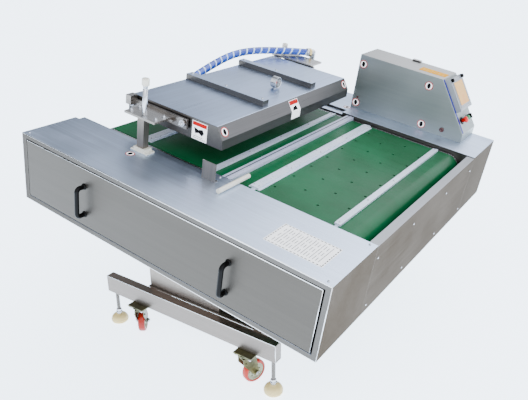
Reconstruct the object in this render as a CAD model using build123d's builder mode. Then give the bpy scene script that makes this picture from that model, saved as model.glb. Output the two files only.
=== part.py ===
from build123d import *
import os
from math import cos, pi, radians, sin, tan

# A belt vacuum sealer with a tilting table. Millimetres, +Z up. The origin is on the floor, at the
# middle of the object's box. The table is built in its own plane, tilted about Y: its local x runs
# from 0 at the infeed edge to -table_length at the outfeed edge, y is across, z is 0 on top.

# Driving dimensions
table_length = 1436
table_width = 1680
table_height = 297
housing_width = 317
infeed_height = 716
table_tilt = 9.09
wall = 3
opening = table_width / 2 - housing_width

tilt_cos = cos(radians(table_tilt))
tilt_sin = sin(radians(table_tilt))
infeed_x = (table_length * tilt_cos + table_height * tilt_sin) / 2
table = Plane(
    origin=(infeed_x, 0, infeed_height),
    x_dir=(tilt_cos, 0, -tilt_sin),
    z_dir=(tilt_sin, 0, tilt_cos),
)

# Base
beam_x = (-524, 402)
beam_y = (600, 640)
beam_z = (158, 238)
tube_wall = 2.5
plug_gap = 0.2
cross_x = (-270, 290)
pan_z = 238.3
pedestal_x = (-297, 92)
pedestal_y = 590
pedestal_top = 440
pivot_x = -102.6
pivot_z = 496
shaft_radius = 15
running_gap = 0.05
lock_bolt_radius = 8
lock_radius = 285
lock_angle = -20
lock_y = -450

# Feet and casters
foot_x = (-488.6, 380.4)
foot_y = 620
stem_radius = 8
pad_radius = 38.5
caster_x = (-319.6, 267.4)
caster_y = 642.5
wheel_radius = 50
wheel_width = 32
wheel_lift = 4
caster_trail = 34
caster_headings = (125, 72, 205, -38)

# Conveyor, in the table's plane
belt_top = -18
belt_thickness = 3
roller_radius = 57.7
belt_inner_radius = 58
infeed_roller_x = -118
outfeed_roller_x = -1268
roller_z = belt_top - belt_thickness - belt_inner_radius
belt_half_width = 500
chain_inner_y = 506
chain_width = 8
flight_pitch = 560
hole_pitch_x = 96
hole_pitch_y = 137
first_hole = (-492, -410)
belt_hole = 5.5
motor_x = -1190
motor_z = -205

# Lid and its lift
lid_x = (-1183, -690)
lid_y = 508
lid_z = (90, 178)
lid_kink = 130
lid_bevel = (25, 32)
lid_travel = 106
post_x = -1012
post_y = 597
ledge_y = 572
ledge_drop = 12
arm_y = (514, 526)

# Control cabinet
cabinet_y = (645, 836)


def span_box(x, y, z, mode=Mode.ADD):
    """A box between two limits along each axis of the part's plane."""
    with Locations(((x[0] + x[1]) / 2, (y[0] + y[1]) / 2, (z[0] + z[1]) / 2)):
        Box(abs(x[1] - x[0]), abs(y[1] - y[0]), abs(z[1] - z[0]), mode=mode)


def bar_x(radius, x, y, z, mode=Mode.ADD):
    """A round bar along the plane's x axis."""
    with Locations(Location(((x[0] + x[1]) / 2, y, z), (0, 90, 0))):
        Cylinder(radius, abs(x[1] - x[0]), mode=mode)


def bar_y(radius, x, y, z, mode=Mode.ADD):
    """A round bar along the plane's y axis."""
    with Locations(Location((x, (y[0] + y[1]) / 2, z), (90, 0, 0))):
        Cylinder(radius, abs(y[1] - y[0]), mode=mode)


def bar_z(radius, x, y, z, mode=Mode.ADD):
    """A round bar along the plane's z axis."""
    with Locations((x, y, (z[0] + z[1]) / 2)):
        Cylinder(radius, abs(z[1] - z[0]), mode=mode)


def side_plane(y):
    """The table's side elevation at y: sketch x along the table, sketch y up, normal -Y."""
    return Plane(origin=table.origin + Vector(0, y, 0), x_dir=table.x_dir, z_dir=(0, -1, 0))


def end_plane(x):
    """The table's end elevation at local x: sketch x along Y, sketch y up, normal to the infeed."""
    return Plane(origin=table.origin + table.x_dir * x, x_dir=(0, 1, 0), z_dir=table.x_dir)


def save(piece, name):
    """Label a finished piece and write its STEP file."""
    piece.part.label = name
    export_step(piece.part, f"parts/{name}.step")


os.makedirs("parts", exist_ok=True)

# ---------------------------------------------------------------- base
# Two rectangular tubes welded to two cross tubes, with plugs in the open ends.
with BuildPart() as base_frame:
    for side in (-1, 1):
        beam = (side * beam_y[0], side * beam_y[1])
        span_box(beam_x, beam, beam_z)
        bore = (side * (beam_y[0] + tube_wall), side * (beam_y[1] - tube_wall))
        span_box(beam_x, bore, (beam_z[0] + tube_wall, beam_z[1] - tube_wall), Mode.SUBTRACT)
        for x in foot_x:
            hole_z = (beam_z[0] - 1, beam_z[0] + tube_wall + 1)
            bar_z(stem_radius + running_gap, x, side * foot_y, hole_z, Mode.SUBTRACT)
    for x in cross_x:
        span_box((x - 20, x + 20), (-beam_y[0], beam_y[0]), beam_z)
        inner = (beam_z[0] + tube_wall, beam_z[1] - tube_wall)
        cross_bore = (x - 20 + tube_wall, x + 20 - tube_wall)
        span_box(cross_bore, (-beam_y[0] + 0.5, beam_y[0] - 0.5), inner, Mode.SUBTRACT)
    # Plugs fill the open ends, each a separate piece.
    for side in (-1, 1):
        plug_y = (
            side * (beam_y[0] + tube_wall + plug_gap),
            side * (beam_y[1] - tube_wall - plug_gap),
        )
        plug_z = (beam_z[0] + tube_wall + plug_gap, beam_z[1] - tube_wall - plug_gap)
        span_box((beam_x[0] + 0.5, beam_x[0] + 9), plug_y, plug_z)
        span_box((beam_x[1] - 9, beam_x[1] - 0.5), plug_y, plug_z)
save(base_frame, "base_frame")

pan_x = (pedestal_x[0], 345)
pan_y = beam_y[0] - 0.4
pan_rim = 5
with BuildPart() as base_pan:
    span_box(pan_x, (-pan_y, pan_y), (pan_z, pan_z + pan_rim))
    hollow_x = (pan_x[0] + wall, pan_x[1] - wall)
    span_box(hollow_x, (-pan_y + wall, pan_y - wall), (pan_z + wall, pan_z + 2 * pan_rim), Mode.SUBTRACT)
save(base_pan, "base_pan")

# Sheet-metal pedestal with its shaft bearings on top and the bracket of the tilt lock on its side.
lock_x = pivot_x + lock_radius * cos(radians(lock_angle))
lock_z = pivot_z + lock_radius * sin(radians(lock_angle))
shell_x = (pedestal_x[0] + wall + 0.5, pedestal_x[1])
shell_floor = pan_z + wall + 0.3
bearing_y = 500
with BuildPart() as pedestal:
    span_box(shell_x, (-pedestal_y, pedestal_y), (shell_floor, pedestal_top))
    hollow = (shell_x[0] + wall, shell_x[1] - wall)
    hollow_y = pedestal_y - wall
    span_box(hollow, (-hollow_y, hollow_y), (shell_floor - 1, pedestal_top - wall), Mode.SUBTRACT)
    for side in (-1, 1):
        foot = (side * (bearing_y - 20), side * (bearing_y + 20))
        span_box((pivot_x - 55, pivot_x + 55), foot, (pedestal_top - 1, pedestal_top + 14))
        span_box((pivot_x - 26, pivot_x + 26), foot, (pedestal_top, pivot_z))
        bar_y(28, pivot_x, foot, pivot_z)
        through = (foot[0] - side, foot[1] + side)
        bar_y(shaft_radius + running_gap, pivot_x, through, pivot_z, Mode.SUBTRACT)
    span_box((pedestal_x[1] - 1, lock_x + 22), (lock_y + 12, lock_y + 22), (lock_z - 22, lock_z + 22))
    bolt_hole = (lock_y + 10, lock_y + 24)
    bar_y(lock_bolt_radius + running_gap, lock_x, bolt_hole, lock_z, Mode.SUBTRACT)
save(pedestal, "pedestal")

# Clamp bolt with a hand lever on its near end and a head behind the bracket.
with BuildPart() as tilt_lock_lever:
    bar_y(lock_bolt_radius, lock_x, (lock_y - 34, lock_y + 22.3), lock_z)
    bar_y(13, lock_x, (lock_y + 22.3, lock_y + 32), lock_z)
    bar_y(14, lock_x, (lock_y - 34, lock_y - 8), lock_z)
    bar_x(6, (lock_x, lock_x + 95), lock_y - 22, lock_z)
    with Locations((lock_x + 100, lock_y - 22, lock_z)):
        Sphere(14)
save(tilt_lock_lever, "tilt_lock_lever")

# Rotary-vane pump: block with cooling fins, exhaust box, and a round motor behind it.
pump_x = (135, 325)
pump_floor = pan_z + wall + 0.3
with BuildPart() as vacuum_pump:
    span_box(pump_x, (-330, 10), (pump_floor, 400))
    inside_x = (pump_x[0] + 18, pump_x[1] - 18)
    span_box(inside_x, (-312, -8), (pump_floor - 1, 382), Mode.SUBTRACT)
    for fin in range(8):
        fin_y = -310 + fin * 24
        span_box((pump_x[0] + 6, pump_x[1] - 6), (fin_y, fin_y + 8), (399, 415))
    span_box((pump_x[0] + 30, pump_x[1] - 30), (20, 420), (pump_floor, 262))
    bar_y(78, (pump_x[0] + pump_x[1]) / 2, (9, 330), 330)
    bar_y(70, (pump_x[0] + pump_x[1]) / 2, (329, 400), 330)
    span_box((pump_x[0] + 70, pump_x[1] - 70), (60, 280), (255, 300))
    span_box((pump_x[0] + 40, pump_x[0] + 110), (110, 210), (400, 425))
save(vacuum_pump, "vacuum_pump")

# ---------------------------------------------------------------- feet and casters
pad_top = 37
for number, (x, side) in enumerate([(x, side) for side in (-1, 1) for x in foot_x], start=1):
    with BuildPart() as levelling_foot:
        with BuildSketch(Plane(origin=(x, side * foot_y, 0), x_dir=(1, 0, 0), z_dir=(0, -1, 0))):
            with BuildLine():
                Polyline((0, 0), (pad_radius - 3, 0), (pad_radius, 4), (pad_radius, 12))
                ThreePointArc((pad_radius, 12), (32, 28), (13, pad_top))
                Polyline((13, pad_top), (0, pad_top), (0, 0))
            make_face()
        revolve(axis=Axis((x, side * foot_y, 0), (0, 0, 1)))
        bar_z(stem_radius, x, side * foot_y, (pad_top - 1, 205))
        bar_z(11, x, side * foot_y, (pad_top, pad_top + 10))
        with BuildSketch(Plane.XY.offset(pad_top + 14)):
            with Locations((x, side * foot_y)):
                RegularPolygon(13, 6)
        extrude(amount=11)
    save(levelling_foot, f"levelling_foot_{number}")

plate_z = (beam_z[0] - 5, beam_z[0])
plate_half = (44, 31)
boss_height = 10
swivel_pin = 8
with BuildPart() as caster_plates:
    for side in (-1, 1):
        for x in caster_x:
            plate_y = (side * (caster_y - plate_half[1]), side * (caster_y + plate_half[1]))
            span_box((x - plate_half[0], x + plate_half[0]), plate_y, plate_z)
            bar_z(27, x, side * caster_y, (plate_z[0] - boss_height, plate_z[0]))
            pin_hole = (plate_z[0] - boss_height - 1, plate_z[1] + 1)
            bar_z(swivel_pin + running_gap, x, side * caster_y, pin_hole, Mode.SUBTRACT)
save(caster_plates, "caster_plates")

fork_top = plate_z[0] - boss_height - 0.4
fork_sheet = 3
fork_inner = wheel_width / 2 + 1.2
wheel_z = wheel_radius + wheel_lift
axle_radius = 5
caster_places = [(x, side) for side in (-1, 1) for x in caster_x]
for number, ((x, side), heading) in enumerate(zip(caster_places, caster_headings), start=1):
    # The plane's x axis runs from the swivel axis to the trailing wheel.
    trail_x = (cos(radians(heading)), sin(radians(heading)), 0)
    swivel = Plane(origin=(x, side * caster_y, 0), x_dir=trail_x, z_dir=(0, 0, 1))
    with BuildPart(swivel) as caster_fork:
        bar_z(swivel_pin, 0, 0, (fork_top - 1, plate_z[1] - 0.5))
        fork_outer = fork_inner + fork_sheet
        span_box((-30, 30), (-fork_outer, fork_outer), (fork_top - 4, fork_top))
        bar_z(26, 0, 0, (fork_top - 6, fork_top))
        for leg in (-1, 1):
            leg_y = leg * (fork_inner + fork_sheet / 2)
            leg_plane = Plane(
                origin=swivel.from_local_coords((0, leg_y + fork_sheet / 2, 0)),
                x_dir=swivel.x_dir,
                z_dir=-swivel.y_dir,
            )
            with BuildSketch(leg_plane):
                with BuildLine():
                    Polyline(
                        (-28, fork_top),
                        (30, fork_top),
                        (caster_trail + 13, wheel_z),
                        (caster_trail + 9, wheel_z - 11),
                        (caster_trail - 9, wheel_z - 11),
                        (-28, fork_top - 30),
                        close=True,
                    )
                make_face()
            extrude(amount=fork_sheet)
        axle_end = fork_outer + 6
        bar_y(axle_radius, caster_trail, (-axle_end, axle_end), wheel_z)
        bar_y(9, caster_trail, (-axle_end, -fork_outer), wheel_z)
        bar_y(9, caster_trail, (fork_outer, axle_end), wheel_z)
    save(caster_fork, f"caster_fork_{number}")
    with BuildPart(swivel) as caster_wheel:
        bar_y(wheel_radius, caster_trail, (-wheel_width / 2, wheel_width / 2), wheel_z)
        fillet(caster_wheel.edges().filter_by(GeomType.CIRCLE), 7)
        for face in (-1, 1):
            recess = (face * (wheel_width / 2 - 5), face * (wheel_width / 2 + 1))
            bar_y(32, caster_trail, recess, wheel_z, Mode.SUBTRACT)
            bar_y(15, caster_trail, (face * 5, face * wheel_width / 2), wheel_z)
        bar_y(axle_radius + running_gap, caster_trail, (-40, 40), wheel_z, Mode.SUBTRACT)
    save(caster_wheel, f"caster_wheel_{number}")

# ---------------------------------------------------------------- table frame
pivot = table.to_local_coords(Vector(pivot_x, 0, pivot_z))
shaft_y = 560
lug_y = 400
rail_x = ((-880, -830), (-750, -700), (-560, -490))
rail_z = (-table_height - 32, -table_height - 0.2)
lock_local = lock_angle + table_tilt
with BuildPart(table) as table_subframe:
    for span in rail_x:
        span_box(span, (-700, 700), rail_z)
        bore_x = (span[0] + tube_wall, span[1] - tube_wall)
        span_box(bore_x, (-701, 701), (rail_z[0] + tube_wall, rail_z[1] - tube_wall), Mode.SUBTRACT)
    for side in (-1, 1):
        span = (side * (lug_y - 6), side * (lug_y + 6))
        span_box((-845, -735), span, (rail_z[0] - 8, rail_z[0] + 0.5))
        span_box((pivot.X - 28, pivot.X + 28), span, (pivot.Z, rail_z[0]))
        bar_y(28, pivot.X, span, pivot.Z)
        hole = (side * (lug_y - 7), side * (lug_y + 7))
        bar_y(shaft_radius + running_gap, pivot.X, hole, pivot.Z, Mode.SUBTRACT)
    with BuildSketch(side_plane(lock_y + 5)):
        for half, start, sweep_angle, mode in (
            (22, lock_local - 15, 32, Mode.ADD),
            (8.5, lock_local - 11.2, 18.3, Mode.SUBTRACT),
        ):
            with BuildLine():
                outer = CenterArc((pivot.X, pivot.Z), lock_radius + half, start, sweep_angle)
                inner = CenterArc((pivot.X, pivot.Z), lock_radius - half, start, sweep_angle)
                Line(outer @ 0, inner @ 0)
                Line(outer @ 1, inner @ 1)
            make_face(mode=mode)
    extrude(amount=10)
save(table_subframe, "table_subframe")

with BuildPart(table) as pivot_shaft:
    bar_y(shaft_radius, pivot.X, (-shaft_y, shaft_y), pivot.Z)
save(pivot_shaft, "pivot_shaft")

cover_x = (-table_length + 25, -27)
cover_z = (-table_height + 22, -24)
window_x = (-table_length + 23, -21)
window_z = (-table_height + 20, -20)
bearing_hole = 16
housing_names = {-1: "near_housing", 1: "far_housing"}
for side, housing_name in housing_names.items():
    outer_y = side * table_width / 2
    inner_y = side * opening
    with BuildPart(table) as housing:
        span_box((-table_length, 0), (outer_y, inner_y), (-table_height, 0))
        span_box(
            (-table_length + wall, -wall),
            (outer_y - side * wall, inner_y + side * wall),
            (-table_height + wall, -wall),
            Mode.SUBTRACT,
        )
        span_box(window_x, (outer_y + side, outer_y - side * (wall + 1)), window_z, Mode.SUBTRACT)
        # A lowered ledge runs along the inner edge, under the lid's arms.
        ledge_x = (-table_length - 1, lid_x[1] - 12)
        ledge = (side * ledge_y, inner_y - side)
        span_box(ledge_x, ledge, (-ledge_drop, 1), Mode.SUBTRACT)
        ledge_sheet = (side * (ledge_y + wall), inner_y)
        sheet_x = (-table_length, lid_x[1] - 12 + wall)
        span_box(sheet_x, ledge_sheet, (-ledge_drop - wall, -ledge_drop))
        span_box(sheet_x, (side * ledge_y, side * (ledge_y + wall)), (-ledge_drop - wall, 0))
        riser_x = (sheet_x[1] - wall, sheet_x[1])
        span_box(riser_x, ledge_sheet, (-ledge_drop - wall, 0))
        with Locations((post_x, side * post_y, 0)):
            Box(44, 40, 4 * wall, mode=Mode.SUBTRACT)
        for x in (infeed_roller_x, outfeed_roller_x):
            through = (inner_y - side, inner_y + side * (wall + 1))
            bar_y(bearing_hole, x, through, roller_z, Mode.SUBTRACT)
    save(housing, housing_name)

# The infeed board closes the whole end. The outfeed board is low, and leaves the belt's end open.
board_lip = 36
board_tops = {0: -4, -table_length: -165}
with BuildPart(table) as end_boards:
    across = (-opening, opening)
    for x, board_top in board_tops.items():
        inward = -1 if x == 0 else 1
        lip_x = (x, x + inward * board_lip)
        span_box((x, x + inward * wall), across, (-table_height, board_top))
        span_box(lip_x, across, (board_top - wall, board_top))
        span_box((lip_x[1] - inward * wall, lip_x[1]), across, (board_top - board_lip, board_top))
        span_box(lip_x, across, (-table_height, -table_height + wall))
save(end_boards, "end_boards")

handle_x = (-1074, -376)
handle_z = (-101, -223)
grip_radius = 9
grip_reach = 35
for side, cover_name in {-1: "near", 1: "far"}.items():
    face_y = side * (table_width / 2 - 1.5)
    with BuildPart(table) as side_cover:
        span_box(cover_x, (face_y, face_y - side * 18), cover_z)
        tray_x = (cover_x[0] + 2, cover_x[1] - 2)
        tray_z = (cover_z[0] + 2, cover_z[1] - 2)
        span_box(tray_x, (face_y - side * 2, face_y - side * 20), tray_z, Mode.SUBTRACT)
    save(side_cover, f"{cover_name}_side_cover")
    grip_y = side * (table_width / 2 + grip_reach)
    with BuildPart() as cover_handles:
        for x in handle_x:
            with BuildLine(end_plane(x)) as grip_line:
                FilletPolyline(
                    (face_y, handle_z[0]),
                    (grip_y, handle_z[0]),
                    (grip_y, handle_z[1]),
                    (face_y, handle_z[1]),
                    radius=15,
                )
            with BuildSketch(Plane(origin=grip_line.line @ 0, z_dir=grip_line.line % 0)):
                Circle(grip_radius)
            sweep(path=grip_line.line)
    save(cover_handles, f"{cover_name}_cover_handles")

# ---------------------------------------------------------------- conveyor
loop_length = infeed_roller_x - outfeed_roller_x
loop_middle = (infeed_roller_x + outfeed_roller_x) / 2
with BuildPart(table) as conveyor_belt:
    with BuildSketch(side_plane(belt_half_width)):
        with Locations((loop_middle, roller_z)):
            SlotCenterToCenter(loop_length, 2 * (belt_inner_radius + belt_thickness))
            SlotCenterToCenter(loop_length, 2 * belt_inner_radius, mode=Mode.SUBTRACT)
    extrude(amount=2 * belt_half_width)
    for row in range(4):
        odd = row % 2
        for column in range(7 - odd):
            hole_x = first_hole[0] + row * hole_pitch_x
            hole_y = first_hole[1] + (column + odd / 2) * hole_pitch_y
            hole_z = (belt_top - belt_thickness - 1, belt_top + 1)
            bar_z(belt_hole, hole_x, hole_y, hole_z, Mode.SUBTRACT)
save(conveyor_belt, "conveyor_belt")

chain_inner = 51
chain_outer = 60
drive_radius = 40
motor_radius = 30
drive_y = (592, 600)
with BuildPart(table) as chains:
    for y in (chain_inner_y + chain_width, -chain_inner_y):
        with BuildSketch(side_plane(y)):
            with Locations((loop_middle, roller_z)):
                SlotCenterToCenter(loop_length, 2 * chain_outer)
                SlotCenterToCenter(loop_length, 2 * chain_inner, mode=Mode.SUBTRACT)
        extrude(amount=chain_width)
    with BuildSketch(side_plane(drive_y[1])) as drive_loop:
        with Locations((outfeed_roller_x, roller_z)):
            Circle(drive_radius + 8)
        with Locations((motor_x, motor_z)):
            Circle(motor_radius + 8)
        make_hull()
    with BuildSketch(side_plane(drive_y[1])) as drive_core:
        with Locations((outfeed_roller_x, roller_z)):
            Circle(drive_radius + 0.4)
        with Locations((motor_x, motor_z)):
            Circle(motor_radius + 0.4)
        make_hull()
    extrude(drive_loop.sketch, amount=drive_y[1] - drive_y[0])
    extrude(drive_core.sketch, amount=drive_y[1] - drive_y[0], mode=Mode.SUBTRACT)
save(chains, "chains")

roller_shaft = 12.5
roller_wall = 5
roller_end = 498
web_hole = 10
web_circle = 32
sprocket_radius = chain_inner - 0.4
for x, roller_name in ((infeed_roller_x, "infeed_roller"), (outfeed_roller_x, "outfeed_roller")):
    with BuildPart(table) as roller:
        bar_y(roller_radius, x, (-roller_end, roller_end), roller_z)
        bore = (-roller_end - 1, roller_end + 1)
        bar_y(roller_radius - roller_wall, x, bore, roller_z, Mode.SUBTRACT)
        for side in (-1, 1):
            web = (side * 470, side * 478)
            bar_y(roller_radius - roller_wall + 1, x, web, roller_z)
            for turn in range(4):
                hole_x = x + web_circle * cos(radians(90 * turn))
                hole_z = roller_z + web_circle * sin(radians(90 * turn))
                bar_y(web_hole, hole_x, (web[0] - side, web[1] + side), hole_z, Mode.SUBTRACT)
            disc = (side * chain_inner_y, side * (chain_inner_y + chain_width))
            bar_y(sprocket_radius, x, disc, roller_z)
        far_end = 606 if roller_name == "outfeed_roller" else 556
        bar_y(roller_shaft, x, (-556, far_end), roller_z)
        if roller_name == "outfeed_roller":
            bar_y(drive_radius, x, drive_y, roller_z)
    save(roller, roller_name)

with BuildPart(table) as roller_bearings:
    for x in (infeed_roller_x, outfeed_roller_x):
        for side in (-1, 1):
            base = side * (opening + wall + 0.2)
            span_box((x - 38, x + 38), (base, base + side * 10), (roller_z - 38, roller_z + 38))
            bar_y(26, x, (base, base + side * 24), roller_z)
            cut = (base - side, base + side * 26)
            bar_y(roller_shaft + running_gap, x, cut, roller_z, Mode.SUBTRACT)
save(roller_bearings, "roller_bearings")

with BuildPart(table) as drive_gearmotor:
    span_box((motor_x - 55, motor_x + 55), (612, 700), (motor_z - 60, motor_z + 60))
    bar_y(50, motor_x, (700, 812), motor_z)
    span_box((motor_x - 70, motor_x + 70), (618, 694), (-table_height + wall + 0.2, motor_z - 50))
    bar_y(11.05, motor_x, (611, 645), motor_z, Mode.SUBTRACT)
save(drive_gearmotor, "drive_gearmotor")

with BuildPart(table) as motor_sprocket:
    bar_y(motor_radius, motor_x, drive_y, motor_z)
    bar_y(11, motor_x, (586, 644), motor_z)
save(motor_sprocket, "motor_sprocket")

with BuildPart(table) as conveyor_bed:
    bed_x = (outfeed_roller_x + 62, infeed_roller_x - 62)
    plate_top = belt_top - belt_thickness - 0.3
    span_box(bed_x, (-497, 497), (plate_top - 5, plate_top))
    for x in (-1060, -380):
        span_box((x - 20, x + 20), (-495, 495), (plate_top - 14, plate_top - 4))
        span_box((x - 20, x + 20), (-opening, opening), (plate_top - 54, plate_top - 13))
        bore = (x - 20 + tube_wall, x + 20 - tube_wall)
        inner = (plate_top - 54 + tube_wall, plate_top - 13 - tube_wall)
        span_box(bore, (-opening - 1, opening + 1), inner, Mode.SUBTRACT)
save(conveyor_bed, "conveyor_bed")

# Cross bars carried by the belt and its chains: pairs of a narrow and a wide bar, one pitch apart,
# and one sealing strip.
flight_base = belt_top + 0.3
bar_end = 486
with BuildPart(table) as flight_bars:
    for pitch in (0, 1):
        shift = -flight_pitch * pitch
        bar_y_span = (-bar_end, bar_end)
        span_box((-188 + shift, -164 + shift), bar_y_span, (flight_base, flight_base + 9))
        span_box((-563 + shift, -511 + shift), bar_y_span, (flight_base, flight_base + 3))
        span_box((-555 + shift, -519 + shift), bar_y_span, (flight_base + 3, flight_base + 10))
        for side in (-1, 1):
            clip = (side * (bar_end - 4), side * (chain_inner_y + 6))
            span_box((-182 + shift, -170 + shift), clip, (flight_base, flight_base + 1))
            span_box((-545 + shift, -529 + shift), clip, (flight_base, flight_base + 1))
save(flight_bars, "flight_bars")

strip_half = 20
strip_end = 516
strip_x = -650
insert_half = 8.7
with BuildPart(table) as seal_strip:
    span = (strip_x - strip_half, strip_x + strip_half)
    span_box(span, (-strip_end, strip_end), (flight_base, flight_base + 12))
    groove = (strip_x - insert_half - 0.3, strip_x + insert_half + 0.3)
    cut = (-strip_end - 1, strip_end + 1)
    span_box(groove, cut, (flight_base + 5, flight_base + 13), Mode.SUBTRACT)
    # The insert lies loose in the groove, a separate piece.
    insert = (2 - strip_end, strip_end - 2)
    span_box((strip_x - insert_half, strip_x + insert_half), insert, (flight_base + 5.3, flight_base + 14))
save(seal_strip, "seal_strip")

# ---------------------------------------------------------------- lid lift
guide_half = 17.3
with BuildPart(table) as post_guides:
    for side in (-1, 1):
        with Locations((post_x, side * (post_y - 1), 0.2)):
            Box(86, 46, 6, align=(Align.CENTER, Align.CENTER, Align.MIN))
            Box(60, 42, 18, align=(Align.CENTER, Align.CENTER, Align.MIN))
        with Locations((post_x, side * post_y, 0)):
            Box(2 * guide_half, 30.6, 60, mode=Mode.SUBTRACT)
save(post_guides, "post_guides")

hanger_z = (147.3, 156)
hanger_rise = {-1: 0, 1: 30}
hanger_rear = {-1: -1085, 1: -1168}
crosshead_z = (-44, -32)
rod_x = -930
rod_radius = 8
piston_radius = 20
piston_z = (-180, -166)
cylinder_top = crosshead_z[0] - lid_travel - 6
cylinder_floor = -table_height + wall + 0.2
with BuildPart(table) as lift_posts:
    for side in (-1, 1):
        y = side * post_y
        post_top = hanger_z[0] - 0.3 + hanger_rise[side]
        span_box((post_x - 17, post_x + 17), (y - 15, y + 15), (-150, post_top))
        span_box((post_x - 17, rod_x + 16), (y - 15, y + 15), crosshead_z)
        bar_z(rod_radius, rod_x, y, (piston_z[0] + 1, crosshead_z[0] + 1))
        bar_z(piston_radius, rod_x, y, piston_z)
save(lift_posts, "lift_posts")

with BuildPart(table) as lift_cylinders:
    for side in (-1, 1):
        y = side * post_y
        bar_z(26, rod_x, y, (cylinder_floor, cylinder_top))
        chamber = (cylinder_floor + 4, cylinder_top - 6)
        bar_z(piston_radius + running_gap, rod_x, y, chamber, Mode.SUBTRACT)
        bar_z(rod_radius + running_gap, rod_x, y, (chamber[1] - 1, cylinder_top + 1), Mode.SUBTRACT)
save(lift_cylinders, "lift_cylinders")

# Each post carries a plate, a long arm beside the lid, and pins into the lid's side. The far plate
# sits higher and reaches further back. A capped screw on each plate sets the lid's height.
up_axis = Axis(table.origin, table.z_dir)
screw_radius = 6
screw_y = post_y + 4
screw_place = {-1: (-1003, 276), 1: (-1147, 206)}
pin_x = (-1142, -872)
pin_z = 148
with BuildPart(table) as lid_hangers:
    for side in (-1, 1):
        rise = hanger_rise[side]
        plate = (side * (arm_y[0] + 2), side * 628)
        level = (hanger_z[0] + rise, hanger_z[1] + rise)
        span_box((hanger_rear[side], -925), plate, level)
        span_box((-1150, -855), (side * arm_y[0], side * arm_y[1]), (126, 166))
        web = (side * (arm_y[1] - 1), side * (arm_y[1] + 14))
        span_box((-1096, -915), web, (140, level[0] + 0.2))
        span_box((-1156, -1128), (side * arm_y[0], side * (arm_y[1] + 26)), (146, 184))
        for x in pin_x:
            bar_y(11, x, (side * arm_y[0], side * (arm_y[1] + 8)), pin_z)
            bar_y(7, x, (side * (lid_y + 0.2), side * (arm_y[0] + 1)), pin_z)
        hole = (level[0] - 1, level[1] + 1)
        screw_hole = screw_radius + running_gap
        bar_z(screw_hole, screw_place[side][0], side * screw_y, hole, Mode.SUBTRACT)
save(lid_hangers, "lid_hangers")

for side, knob_name in {-1: "near_adjuster", 1: "far_adjuster"}.items():
    screw_x, cap_base = screw_place[side]
    seat = hanger_z[1] + hanger_rise[side] + 0.3
    y = side * screw_y
    with BuildPart(table) as adjuster:
        bar_z(screw_radius, screw_x, y, (seat - 9, cap_base))
        bar_z(9.5, screw_x, y, (seat, cap_base))
        bar_z(15, screw_x, y, (cap_base, cap_base + 27))
        cap_edge = adjuster.edges().filter_by(GeomType.CIRCLE).sort_by(up_axis)[-1:]
        fillet(cap_edge, 3)
    save(adjuster, knob_name)

# ---------------------------------------------------------------- lid
rim = 3
lid_profile = (
    (lid_x[0], lid_z[0]),
    (lid_x[0], lid_kink),
    (lid_x[0] + lid_bevel[0], lid_z[1]),
    (lid_x[1] - lid_bevel[1], lid_z[1]),
    (lid_x[1], lid_kink),
    (lid_x[1], lid_z[0]),
)
inner_profile = (
    (lid_x[0] + rim, lid_z[0] - 1),
    (lid_x[0] + rim, lid_kink - 1),
    (lid_x[0] + lid_bevel[0] + 2, lid_z[1] - rim),
    (lid_x[1] - lid_bevel[1] - 2, lid_z[1] - rim),
    (lid_x[1] - rim, lid_kink - 1),
    (lid_x[1] - rim, lid_z[0] - 1),
)
port_y = -114
port_z = (106, 140)
port_radius = 8
port_hole = (port_y, 118)
with BuildPart(table) as lid_shell:
    with BuildSketch(side_plane(lid_y)):
        Polygon(*lid_profile, align=None)
    extrude(amount=2 * lid_y)
    with BuildSketch(side_plane(lid_y - rim)):
        Polygon(*inner_profile, align=None)
    extrude(amount=2 * (lid_y - rim), mode=Mode.SUBTRACT)
    bar_x(port_radius, (lid_x[0] - 1, lid_x[0] + rim + 1), *port_hole, Mode.SUBTRACT)
save(lid_shell, "lid_shell")

with BuildPart(table) as lid_gasket:
    seal = (lid_x[0] + rim + 0.3, lid_x[1] - rim - 0.3)
    seal_y = lid_y - rim - 0.3
    span_box(seal, (-seal_y, seal_y), (lid_z[0] - 0.5, lid_z[0] + 14))
    core = (seal[0] + 12, seal[1] - 12)
    span_box(core, (12 - seal_y, seal_y - 12), (lid_z[0] - 2, lid_z[0] + 15), Mode.SUBTRACT)
save(lid_gasket, "lid_gasket")

with BuildPart(table) as upper_seal_bar:
    span_box((-752, -720), (-470, 470), (112, 134))
    span_box((-741, -731), (-466, 466), (104, 112))
    for y in (-300, 0, 300):
        bar_z(12, -736, y, (133, lid_z[1] - rim - 4))
save(upper_seal_bar, "upper_seal_bar")

stiffener_y = (-185, 205)
stiffener_width = 40
stiffener_height = 25
with BuildPart(table) as stiffener_tubes:
    for y in stiffener_y:
        across = (y, y + stiffener_width)
        top = lid_z[1] + 0.2
        span_box((-1160, -738), across, (top, top + stiffener_height))
        bore_y = (y + 2, y + stiffener_width - 2)
        span_box((-1161, -741), bore_y, (top + 2, top + stiffener_height - 2), Mode.SUBTRACT)
save(stiffener_tubes, "stiffener_tubes")

gauge_x = -835
gauge_y = 64
gauge_z = 207
with BuildPart(table) as gauge_case:
    bar_z(7, gauge_x - 8, gauge_y, (lid_z[1] + 0.2, gauge_z - 22))
    bar_z(11, gauge_x - 8, gauge_y, (lid_z[1] + 0.2, lid_z[1] + 8))
    bar_x(26, (gauge_x - 22, gauge_x + 4), gauge_y, gauge_z)
    bar_x(22.5, (gauge_x - 14, gauge_x + 5), gauge_y, gauge_z, Mode.SUBTRACT)
    bar_x(2.5, (gauge_x - 15, gauge_x - 8), gauge_y, gauge_z)
save(gauge_case, "gauge_case")

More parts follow.
